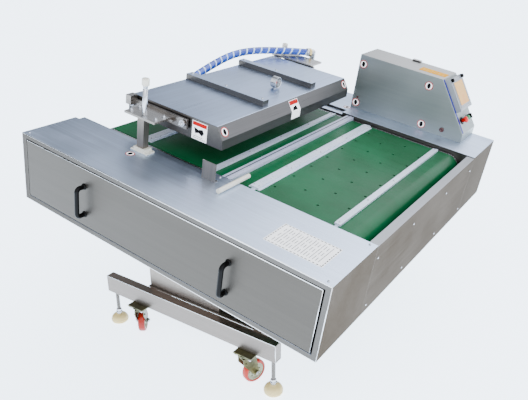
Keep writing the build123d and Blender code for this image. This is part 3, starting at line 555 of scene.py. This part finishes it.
CASTER_X = (-319.6, 267.4)
CASTER_Y = 642.5
CASTER_PLATE_Z = 153
TRAIL = 34
HEADINGS = (125, 72, 205, -38)
WHEEL_Z = 54
FORK_HALF = 24
FORK_BOLT = Vector((16, 20.3, 118))
PLATE_BOLTS = (33, 23)
RIVET_CIRCLE = 25
WEB_HALF = 4.4
# Profiles of the wheel's first side.
TREAD = [(-12, 37.5), (-15, 39), (-15.6, 42), (-14, 46.5), (-10, 49.2), (-5, 50)]
RIM = [(-12.5, 37), (-13.5, 38.2), (-13.5, 36), (-9, 33), (-6, 30), (-5, 26), (-5, 19), (-9, 16.5)]
RIM += [(-15.5, 15), (-15.8, 10), (-15.8, 5.06)]
RACE = [(0, 34), (3, 34), (6, 31), (9, 29.5), (9.8, 27)]


def both_sides(profile):
    """A wheel's whole profile from its first side's."""
    return profile + [(-d, r) for d, r in profile[::-1]]


def draw_caster(number, x, side, heading):
    """Wheel, the fork's bolts and the top plate's bolts and ball race."""
    swivel = Vector((x, side * CASTER_Y, 0))
    out = Vector((cos(heading), sin(heading), 0))
    axle = Vector((-sin(heading), cos(heading), 0))
    hub = swivel + Vector((0, 0, WHEEL_Z)) + out * TRAIL
    wheel = Piece(f"wheel {number}", WORLD, f"wheel_{number}")
    wheel.lathe(hub, axle, both_sides(TREAD), "tyre", 64)
    wheel.lathe(hub, axle, both_sides(RIM), "hub", 64)
    for k in range(6):
        a = radians(60 * k)
        rivet = hub + (out * cos(a) + Vector(UP) * sin(a)) * RIVET_CIRCLE
        for face in SIDES:
            wheel.cylinder(rivet + axle * face * WEB_HALF, axle * face, 2.2, 3.4, "zinc", 0.5, 16)
    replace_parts(wheel.done(), f"caster_wheel_{number}")

    fork = Piece(f"caster {number} hardware", WORLD, f"caster_{number}")
    for face in SIDES:
        fork.hexagon(hub + axle * face * FORK_HALF, axle * face, 6, 15, "turned")
        fork.cylinder(hub + axle * face * (FORK_HALF + 5), axle * face, 4, 4.6, "turned", 0.8, 18)
        leg = swivel - out * FORK_BOLT.x + axle * face * FORK_BOLT.y + Vector(UP) * FORK_BOLT.z
        fork.bolt(leg, axle * face, 6, "zinc")
    fork.done()

    plate = Piece(f"caster {number} fixings", WORLD, "base")
    under = swivel + Vector((0, 0, CASTER_PLATE_Z))
    for dx in (-PLATE_BOLTS[0], PLATE_BOLTS[0]):
        for dy in (-PLATE_BOLTS[1], PLATE_BOLTS[1]):
            plate.bolt(under + Vector((dx, dy * side, 0)), (0, 0, -1), 11)
    plate.lathe(under, (0, 0, -1), RACE, "zinc", 40)
    plate.done()


for number, (side, x) in enumerate(product(SIDES, FOOT_X), 1):
    draw_foot(number, x, side * FOOT_Y)
for number, (side, x) in enumerate(product(SIDES, CASTER_X), 1):
    draw_caster(number, x, side, radians(HEADINGS[number - 1]))

# ---------------------------------------------------------------- table details
near = Piece("near housing details", TABLE, "table")
# Printed instruction label with a dashed border and ruled rows standing in for its text.
LABEL_X = (-298, -74)
LABEL_Y = (-775, -637)
label_mid = ((LABEL_X[0] + LABEL_X[1]) / 2, (LABEL_Y[0] + LABEL_Y[1]) / 2)
label_half = ((LABEL_X[1] - LABEL_X[0]) / 2, (LABEL_Y[1] - LABEL_Y[0]) / 2)
near.plate(rounded(*label_mid, *label_half, 3, 0.05), 0.25, "paper")
PRINT_Z = 0.32


def flat_mark(x, y, size_x, size_y, key):
    """A printed block on the label, from its low corner."""
    corners = ((x, y), (x + size_x, y), (x + size_x, y + size_y), (x, y + size_y))
    near.plate([(*corner, PRINT_Z) for corner in corners], 0.08, key)


DASH, GAP, LINE = 8.6, 5.4, 3.6
BORDER = 3
for y in (LABEL_Y[0] + BORDER, LABEL_Y[1] - BORDER - LINE):
    for k in range(16):
        flat_mark(LABEL_X[0] + BORDER + k * (DASH + GAP), y, DASH, LINE, "ink")
for x in (LABEL_X[0] + BORDER, LABEL_X[1] - BORDER - LINE):
    for k in range(9):
        flat_mark(x, LABEL_Y[0] + 10 + k * (DASH + GAP), LINE, DASH, "ink")
ROW_PITCH = 11
COLUMN_PITCH = 36
for row, column in product(range(17), range(3)):
    length = 22 + 6 * (row * 2 % 3)
    x = LABEL_X[0] + 22 + row * ROW_PITCH
    flat_mark(x, LABEL_Y[0] + 18 + column * COLUMN_PITCH, 2.2, length, "print_grey")
for x, y in ((-24, -541), (-24, -822), (-660, -541), (-1412, -822)):
    near.screw((x, y, 0.1), UP, 4.5)
near.done()


def bead(piece, start, axis, length, radius=1.5):
    """A round edge along a fold, in near-white steel that paints a highlight line along it."""
    piece.lathe(start, axis, [(0, 0), (0, radius), (length, radius), (length, 0)], "edge", 12)


# Beads along the top and the bottom fold of both housings, and up their low end: real folds, their
# near-white tone a painted highlight.
HOUSING_Y = 839.6
HOUSING_X = -1434
HOUSING_LENGTH = 1432
beads = Piece("housing edge beads", TABLE, "table")
for side in SIDES:
    y = side * HOUSING_Y
    for z in (-1.2, -295.8):
        bead(beads, (HOUSING_X, y, z), ALONG, HOUSING_LENGTH)
    bead(beads, (-1.2, y, -295), UP, 294, 1.4)
beads.done()
COVERS = ((-1, "near_cover"), (1, "far_cover"))
COVER_Y = 838.2
# Hem beads along each cover's top and end fold, near-white as a painted highlight.
for side, body in COVERS:
    hem = Piece(f"{body} hem", TABLE, body)
    bead(hem, (-1409, side * COVER_Y, -25.4), ALONG, 1380, 1.9)
    bead(hem, (-28.5, side * COVER_Y, -273), UP, 247, 1.6)
    hem.done()
BEAM_Y = 639.4
# Near-white beads along the beam tubes' top edge and up their end: painted highlight lines.
tubes = Piece("beam edge beads", WORLD, "base")
for side in SIDES:
    bead(tubes, (-523, side * BEAM_Y, 237.2), ALONG, 924)
    bead(tubes, (401.3, side * BEAM_Y, 159), UP, 78)
tubes.done()

GRIP_X = (-1074, -376)
GRIP_Z = (-101, -223)
GRIP_FOOT = [(0, 0), (0, 12.5), (2.5, 12.5), (4.5, 11), (6, 9.6), (6, 9.2)]
for side, body in COVERS:
    grips = Piece(f"{body} handle feet", TABLE, body)
    for x, z in product(GRIP_X, GRIP_Z):
        grips.lathe((x, side * 838.4, z), (0, side, 0), GRIP_FOOT, "black", 28)
    grips.done()

# Screws in rows on the boards at both ends: the board's outer face, its direction and its rows.
BOARD_ROWS = ((0, 1, (-60, -262)), (-1436, -1, (-190, -262)))
ends = Piece("end board fixings", TABLE, "table")
for x, out, rows in BOARD_ROWS:
    for y, z in product((-500, -180, 180, 500), rows):
        ends.screw((x + out * 0.1, y, z), (out, 0, 0), 4.2)
ends.done()

# ---------------------------------------------------------------- belt, bars and chains
# Screws in both sets of bars: x and the height of the bar's face.
BAR_SCREWS = ((-176, -8.6), (-548, -7.6), (-526, -7.6))
SET_PITCH = 560
flights = Piece("strip tapes and bar screws", TABLE, "flights")
# Dark tape along the insert of the sealing strip.
flights.box((-655.5, -512, -3.9), (-651, 512, -2.9), "tape", 0.3)
for shift, y in product((0, -SET_PITCH), (-470, -240, 0, 240, 470)):
    for x, z in BAR_SCREWS:
        flights.screw((x + shift, y, z), UP, 3.6)
flights.done()

# Link plates on both carrying chains, following the loop round the rollers.
LINK_PITCH = 12.7
ROLLER_Z = -79
LOOP_ENDS = (-118, -1268)
LINK_RADIUS = 55.5
STRAIGHT = LOOP_ENDS[0] - LOOP_ENDS[1]
ARC = pi * LINK_RADIUS
LOOP = 2 * STRAIGHT + 2 * ARC


def on_loop(distance):
    """Place and direction on the chain's loop in the table's x and z, from the top at the outfeed end."""
    if distance < STRAIGHT:
        return (LOOP_ENDS[1] + distance, ROLLER_Z + LINK_RADIUS), (1, 0)
    distance -= STRAIGHT
    if distance < ARC:
        a = distance / LINK_RADIUS
        place = (LOOP_ENDS[0] + LINK_RADIUS * sin(a), ROLLER_Z + LINK_RADIUS * cos(a))
        return place, (cos(a), -sin(a))
    distance -= ARC
    if distance < STRAIGHT:
        return (LOOP_ENDS[0] - distance, ROLLER_Z - LINK_RADIUS), (-1, 0)
    a = (distance - STRAIGHT) / LINK_RADIUS
    place = (LOOP_ENDS[1] - LINK_RADIUS * sin(a), ROLLER_Z - LINK_RADIUS * cos(a))
    return place, (-cos(a), sin(a))


LINK_FACES = (-514.2, -505.2, 505.2, 514.2)
LINK_HALF = ((-9, -3), (-7, -5), (-3, -4), (3, -4), (7, -5), (9, -3))
LINK_OUTLINE = LINK_HALF + tuple((-u, -v) for u, v in LINK_HALF)
links = Piece("chain link plates", TABLE, "table")
for face, k in product(LINK_FACES, range(round(LOOP / LINK_PITCH))):
    (x, z), (dx, dz) = on_loop(k * LINK_PITCH)
    # Every second plate stands off by half a millimetre, as outer and inner links do.
    y = face + k % 2 * 0.5
    links.plate([(x + u * dx - v * dz, y, z + u * dz + v * dx) for u, v in LINK_OUTLINE], 0.9, "turned")
links.done()

# ---------------------------------------------------------------- lid and hangers
STIFFENER_Y = (-165, 225)
LID_SIDE_Y = -508.3
HANGER_Y = 534.2
lid = Piece("lid fixings and labels", TABLE, "lid")
for y, x in product(STIFFENER_Y, (-1140, -950, -758)):
    lid.screw((x, y, 203.3), UP, 5)
for side, x in product(SIDES, (-1142, -872)):
    lid.bolt((x, side * HANGER_Y, 148), (0, side, 0), 14)
for x, y in product((-1068, -940), (-560, -606)):
    lid.bolt((x, y, 156.1), UP, 10)


def side_mark(outline, lift, thickness, key):
    """A flat mark on the lid's near side from its (x, z) corners, lift off the sheet."""
    lid.plate([(x, LID_SIDE_Y - lift, z) for x, z in outline], thickness, key)


# Small warning label, red head over a white body with a plain dark shape and two ruled lines.
side_mark([(-840, 94), (-766, 94), (-766, 168), (-840, 168)], 0, 0.3, "paper")
side_mark([(-838, 150), (-768, 150), (-768, 166), (-838, 166)], 0.4, 0.2, "label_red")
DARK_SHAPE = [(-830, 143), (-824, 118), (-806, 124), (-790, 114), (-780, 128), (-788, 142), (-808, 136)]
side_mark(DARK_SHAPE, 0.4, 0.2, "ink")
for end, z in ((-774, 99), (-786, 106)):
    side_mark([(-834, z), (end, z), (end, z + 2), (-834, z + 2)], 0.4, 0.2, "ink")
lid.done()


def sticker(name, body, centre, u, v, radius):
    """Round warning mark: pale disc, pink ring and a plain dark drop in the middle."""
    piece = Piece(name, TABLE, body)
    u, v, centre = Vector(u), Vector(v), Vector(centre)
    normal = u.cross(v).normalized()

    def disc(r_u, r_v, lift, key):
        angles = [2 * pi * k / 28 for k in range(28)]
        points = [centre + normal * lift + u * r_u * cos(a) + v * r_v * sin(a) for a in angles]
        piece.plate(points, 0.12, key)

    disc(radius, radius, 0.1, "pink")
    disc(radius * 0.80, radius * 0.80, 0.3, "paper")
    disc(radius * 0.44, radius * 0.66, 0.5, "ink")
    piece.done()


# Up the slope of the lid's front, which leans back from the fold over its upright face.
BEVEL_UP = Vector((-32, 0, 48)).normalized()
sticker("lid sticker near", "lid", (-706, -478, 154), ACROSS, BEVEL_UP, 20)
sticker("lid sticker far", "lid", (-706, 482, 154), ACROSS, BEVEL_UP, 20)
sticker("post sticker", "table", (-1023, -652, 0), ALONG, ACROSS, 19)
sticker("far top sticker", "table", (-722, 613, 0), ALONG, ACROSS, 19)
for n, (x, z) in enumerate(((-694, 234), (-335, 224), (-694, 30), (-324, 30)), 1):
    sticker(f"cabinet sticker {n}", "table", (x, 644.8, z), ALONG, UP, 21)

# The same warning label folded over the lid's front edge.
FRONT_X = -689.7
FOLD_Z = 130.2
FRONT_LABEL_Y = (-18, 52)


def on_bevel(y, up, lift=0):
    """A point of the lid's leaning front: y across, up the slope from the fold, lift off the paper."""
    return Vector((FRONT_X + lift * 0.25, y, FOLD_Z + lift * 0.2)) + BEVEL_UP * up


def bevel_mark(outline, lift, thickness, key):
    """A flat mark on the lid's leaning front from its (y, up) corners."""
    front_label.plate([on_bevel(y, up, lift) for y, up in outline], thickness, key)


front_label = Piece("lid front label", TABLE, "lid")
low, high = FRONT_LABEL_Y
upright = [(FRONT_X, low, 96), (FRONT_X, high, 96), (FRONT_X, high, 130), (FRONT_X, low, 130)]
front_label.plate(upright, 0.3, "paper")
bevel_mark([(low, 0), (high, 0), (high, 50), (low, 50)], 0, 0.3, "paper")
bevel_mark([(-16.2, 30), (49.92, 30), (49.92, 48), (-16.2, 48)], 1, 0.2, "label_red")
bevel_mark([(-8, 4), (34, 4), (26, 24), (2, 18)], 1, 0.2, "ink")
front_label.done()

# Gauge face with its scale, and the glass's rim.
GAUGE_Y, GAUGE_Z = 64, 207
SCALE_MARKS = 28
gauge = Piece("gauge dial", TABLE, "lid")
gauge.lathe((-848.8, GAUGE_Y, GAUGE_Z), ALONG, [(0, 0), (0, 22.2), (0.8, 22.2), (0.8, 0)], "dial", 48)
middle = Vector((-847.9, GAUGE_Y, GAUGE_Z))
for k in range(SCALE_MARKS):
    a = radians(-45 + 270 * k / (SCALE_MARKS - 1))
    inner, half_width = (15.5, 0.7) if k % 3 == 0 else (17.5, 0.4)
    outward = Vector((0, cos(a), sin(a)))
    low, high = middle + outward * inner, middle + outward * 20
    wide = Vector((0, -sin(a), cos(a))) * half_width
    gauge.plate([low - wide, high - wide, high + wide, low + wide], 0.15, "ink")
GLASS_RIM = [(-2, 23), (0.2, 26.1), (1.6, 25.6), (1.8, 24), (0.4, 22.4), (-2, 22.4)]
gauge.lathe((-831, GAUGE_Y, GAUGE_Z), ALONG, GLASS_RIM, "turned", 48)
gauge.done()

# Height screws: a steel stud and sleeve under a clear white cap.
ADJUSTER_Y = 601


def draw_adjuster(name, x, y, seat, cap):
    """Stud and sleeve from the seat up to the cap's underside, and the cap."""
    base = Vector((x, y, 0))
    screw = Piece(f"{name} screw", TABLE, name)
    screw.cylinder(base + Vector((0, 0, seat - 8.5)), UP, cap - seat + 9, 5.9, "stud", 0.6, 24)
    sleeve = [(seat, 0), (seat, 9.4), (seat + 1, 9.8), (cap - 16, 9.8), (cap - 15, 8.6)]
    sleeve += [(cap - 9, 8.6), (cap - 8, 9.8), (cap, 9.8), (cap, 0)]
    screw.lathe(base, UP, sleeve, "turned", 32)
    head = [(-2, 0), (-2, 12), (0, 14.4), (3, 15), (22, 15), (25.5, 13.6), (27, 10.5), (27, 0)]
    screw.lathe(base, UP, [(cap + d, r) for d, r in head], "nylon", 40)
    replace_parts(screw.done(), name)


draw_adjuster("near_adjuster", -1003, -ADJUSTER_Y, 156.3, 276)
draw_adjuster("far_adjuster", -1147, ADJUSTER_Y, 186.3, 206)

# ---------------------------------------------------------------- hose
HOSE_RADIUS = 18
RIB_PITCH = 46.0
RIB_HALF = 4.2
RIB_HEIGHT = 0.9
HOSE_SINK = 0.35
HOSE_SEGMENTS = 28
ROUTE = [(-1216, -70, 146), (-1240, 110, 178), (-1228, 300, 212), (-1150, 500, 212), (-1040, 648, 206)]


def spline_points(points, resolution):
    """The line of a NURBS spline that has these points as its control points."""
    curve = bpy.data.curves.new("route", "CURVE")
    curve.dimensions = "3D"
    spline = curve.splines.new("NURBS")
    spline.points.add(len(points) - 1)
    for target, point in zip(spline.points, points):
        target.co = (*point, 1)
    spline.order_u = 3
    spline.use_endpoint_u = True
    spline.resolution_u = resolution
    holder = bpy.data.objects.new("route", curve)
    mesh = bpy.data.meshes.new_from_object(holder)
    line = [v.co.copy() for v in mesh.vertices]
    bpy.data.objects.remove(holder)
    bpy.data.curves.remove(curve)
    bpy.data.meshes.remove(mesh)
    return line


def off_rib(along, around):
    """Distance along the hose from the middle of its spiral rib, around in turns."""
    turn = (along / RIB_PITCH + around) % 1
    return min(turn, 1 - turn) * RIB_PITCH


path = spline_points(ROUTE, 70)
distance = [0]
for a, b in zip(path, path[1:]):
    distance.append(distance[-1] + (b - a).length)
hose = Piece("vacuum hose", TABLE, None)
rings = []
side_dir = Vector(UP)
for n, p in enumerate(path):
    d = (path[min(n + 1, len(path) - 1)] - path[max(n - 1, 0)]).normalized()
    side_dir = (side_dir - d * side_dir.dot(d)).normalized()
    other = d.cross(side_dir)
    ring = []
    for k in range(HOSE_SEGMENTS):
        a = 2 * pi * k / HOSE_SEGMENTS
        off = off_rib(distance[n], k / HOSE_SEGMENTS)
        lift = RIB_HEIGHT * max(0, 1 - (off / RIB_HALF) ** 2) - HOSE_SINK
        ring.append(hose.bm.verts.new(p + (side_dir * cos(a) + other * sin(a)) * (HOSE_RADIUS + lift)))
    rings.append(ring)
for n, (a, b) in enumerate(zip(rings, rings[1:])):
    for k in range(HOSE_SEGMENTS):
        j = (k + 1) % HOSE_SEGMENTS
        off = off_rib((distance[n] + distance[n + 1]) / 2, (k + 0.5) / HOSE_SEGMENTS)
        face = hose.bm.faces.new((a[k], a[j], b[j], b[k]))
        hose.paint([face], "hose_rib" if off < RIB_HALF else "hose", True)
for ring in (rings[0][::-1], rings[-1]):
    hose.paint([hose.bm.faces.new(ring)], "hose")
hose_obj = hose.done()
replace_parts(hose_obj, "vacuum_hose")
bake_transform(hose_obj)

# Clamp and brass nut at each end of the hose.
CLAMP = [(0, 13.2), (0, 18.5), (1, 19.5), (6, 18), (7, 19.5), (13, 19.5), (14, 18.4), (14, 13.2)]
CUFF = [(0, 17.2), (0, 20), (1, 21), (11, 21), (12, 20), (12, 17.2)]
d = (path[1] - path[0]).normalized()
clamp = Piece("hose clamp lid", TABLE, "lid")
clamp.lathe(path[0] - d * 16, d, CLAMP, "brass", 40)
clamp.hexagon(path[0] - d * 32, d, 15, 32, "brass")
clamp.done()
d = (path[-1] - path[-2]).normalized()
clamp = Piece("hose clamp riser", TABLE, "table")
clamp.lathe(path[-1] + d * 3, d, CUFF, "turned", 40)
clamp.hexagon(path[-1] + d * 17, d, 14, 38, "brass")
clamp.done()

# ---------------------------------------------------------------- control cabinet
# The cabinet's top drops a little towards the front: its height at x.
TOP_X, TOP_HEIGHT, TOP_FALL = -420, 276.3, 0.0181
CABINET_WALL_Y = 645
cab = Piece("cabinet details", TABLE, "table")
cab.plate([(-420, 690, 275.9), (-284, 690, 273.4), (-284, 752, 273.4), (-420, 752, 275.9)], 0.3, "yellow")
for x, y in product(range(-410, -300, 20), (703, 716, 729)):
    z = TOP_HEIGHT - (x - TOP_X) * TOP_FALL
    cab.plate([(x, y, z), (x + 13, y, z - 0.2), (x + 13, y + 3, z - 0.2), (x, y + 3, z)], 0.1, "brass")
cab.box((-506, 812, 277.3), (-460, 835, 285), "bright_steel", 1.2)
cab.box((-500, 806, 277.3), (-466, 812, 281), "rubber_and_bed_shade", 0.6)
LARGE_PLUG = [(0, 0), (0, 12), (2, 12), (5, 10.5), (7, 8.5), (7, 6), (4, 5), (4, 0)]
SMALL_PLUG = [(0, 0), (0, 6), (2, 6), (3, 4), (3, 0)]
cab.lathe((-217, CABINET_WALL_Y, 34), (0, -1, 0), LARGE_PLUG, "plug", 32)
cab.lathe((-690, CABINET_WALL_Y, 60), (0, -1, 0), SMALL_PLUG, "plug", 24)
for x in (-700, -560, -420, -260):
    cab.screw((x, 836.1, 14), ACROSS, 3.6)
cab.done()

# Film along the front's near edge, the touch screen, its frame and two knobs.
front = Piece("cabinet front details", FRONT, "table")
front.plate([(649, 4, 0.1), (663, 4, 0.1), (663, 282, 0.1), (649, 282, 0.1)], 0.5, "film")
front.box((687, 133, 27.1), (801, 247, 28.6), "screen", 0.4)
for y0, y1 in ((114, 122), (258, 266)):
    front.box((669, y0, 25.8), (821, y1, 27.2), "hmi", 0.5)
PANEL_KNOB = [(0, 0), (0, 8), (1, 9.5), (9, 9.5), (11.5, 8), (12.4, 4), (12.4, 0)]
for u in (676, 812):
    front.lathe((u, 262, 26.1), UP, PANEL_KNOB, "black", 28)
front.done()

STOP_U, START_U, SELECTOR_U = 696, 744, 790
BUTTON_V = 62
COLLARS = (
    ("stop", STOP_U, 19, "black"),
    ("start", START_U, 15, "turned"),
    ("selector", SELECTOR_U, 15.5, "turned"),
)
for name, u, r, key in COLLARS:
    collar = Piece(f"{name} collar", FRONT, "table")
    collar.lathe((u, BUTTON_V, 0.1), UP, [(0, 8.3), (0, r), (1.2, r), (1.6, r - 1), (1.6, 8.3)], key, 40)
    collar.done()


def draw_cap(name, u, profile, key):
    """A button's cap from its (height, radius) profile; its stem runs down through the collar."""
    cap = Piece(f"{name}_button cap", FRONT, f"{name}_button")
    cap.lathe((u, BUTTON_V, 0), UP, [(-5, 0), (-5, 7.8)] + profile, key, 40)
    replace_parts(cap.done(), f"{name}_button")


STOP_CAP = [(7, 7.8), (8, 10), (15, 10), (17, 13), (21, 15.6), (26, 15.2), (29.5, 12), (31.2, 6), (31.5, 0)]
START_CAP = [(6.4, 7.8), (6.6, 11), (22, 11), (23.5, 9.5), (24, 6), (24, 0)]
draw_cap("stop", STOP_U, STOP_CAP, "red")
draw_cap("start", START_U, START_CAP, "green")
pointer = Piece("selector pointer", FRONT, "selector_knob")
pointer.box((787.2, 51, 21.6), (792.8, 73, 23), "paper", 0.4)
pointer.done()

# ---------------------------------------------------------------- stage, light and camera
FLOOR = 40
floor_mesh = bpy.data.meshes.new("floor")
floor_corners = [(-FLOOR, -FLOOR, 0), (FLOOR, -FLOOR, 0), (FLOOR, FLOOR, 0), (-FLOOR, FLOOR, 0)]
floor_mesh.from_pydata(floor_corners, [], [(0, 1, 2, 3)])
floor = bpy.data.objects.new("floor", floor_mesh)
bpy.context.scene.collection.objects.link(floor)
s = Shader("studio floor")
s.set(Base_Color=(0.84, 0.88, 0.93, 1), Roughness=0.9, Specular_IOR_Level=0.0)
s.set(Emission_Color=(0.73, 0.86, 1.0, 1), Emission_Strength=4.1)
floor_mesh.materials.append(s.mat)

world = bpy.data.worlds.new("studio")
bpy.context.scene.world = world
world.use_nodes = True
tree = world.node_tree
background = tree.nodes["Background"]
background.inputs["Color"].default_value = (0.92, 0.97, 1.06, 1)
coord = tree.nodes.new("ShaderNodeTexCoord")


def side_light(direction, low, high, dark, bright):
    """A level that rises from dark to bright as the view turns from low to high towards a direction."""
    facing = tree.nodes.new("ShaderNodeVectorMath")
    facing.operation = "DOT_PRODUCT"
    facing.inputs[1].default_value = direction
    tree.links.new(coord.outputs["Generated"], facing.inputs[0])
    level = tree.nodes.new("ShaderNodeMapRange")
    level.interpolation_type = "SMOOTHSTEP"
    for key, value in (("From Min", low), ("From Max", high), ("To Min", dark), ("To Max", bright)):
        level.inputs[key].default_value = value
    tree.links.new(facing.outputs["Value"], level.inputs["Value"])
    return level.outputs["Result"]


# The studio is dark to the left, bright behind the machine's right side and lit from the front.
BRIGHT_SIDE = (0.496, 0.744, 0.447)
FRONT_SIDE = (0.2, -0.9, 0.35)
both = tree.nodes.new("ShaderNodeMath")
both.operation = "ADD"
tree.links.new(side_light(BRIGHT_SIDE, 0.28, 0.85, 0.25, 2.6), both.inputs[0])
tree.links.new(side_light(FRONT_SIDE, 0.1, 0.8, 0.0, 1.9), both.inputs[1])
tree.links.new(both.outputs[0], background.inputs["Strength"])


def softbox(name, at, target, size, power, colour):
    """A rectangular lamp aimed at a point."""
    light = bpy.data.lights.new(name, "AREA")
    light.shape = "RECTANGLE"
    light.size, light.size_y = size
    light.energy = power
    light.color = colour
    lamp = bpy.data.objects.new(name, light)
    lamp.location = at
    lamp.rotation_euler = (Vector(target) - Vector(at)).to_track_quat("-Z", "Y").to_euler()
    bpy.context.scene.collection.objects.link(lamp)


softbox("key", (0.9, 3.2, 4.0), (0, 0, 0.6), (3.6, 3.0), 60, (0.94, 0.97, 1.0))
softbox("fill", (2.6, -3.4, 3.2), (0, 0, 0.5), (3.0, 2.4), 70, (1.0, 0.99, 0.97))

camera = bpy.data.cameras.new("camera")
camera.sensor_width = 36
camera.lens = 41.245
camera.shift_x = 0.00137
camera.shift_y = -0.00078
cam = bpy.data.objects.new("camera", camera)
cam.location = (1.42988, -2.20239, 1.65958)
cam.rotation_euler = (radians(66.43), radians(0.152), radians(34.634))
bpy.context.scene.collection.objects.link(cam)
bpy.context.scene.camera = cam
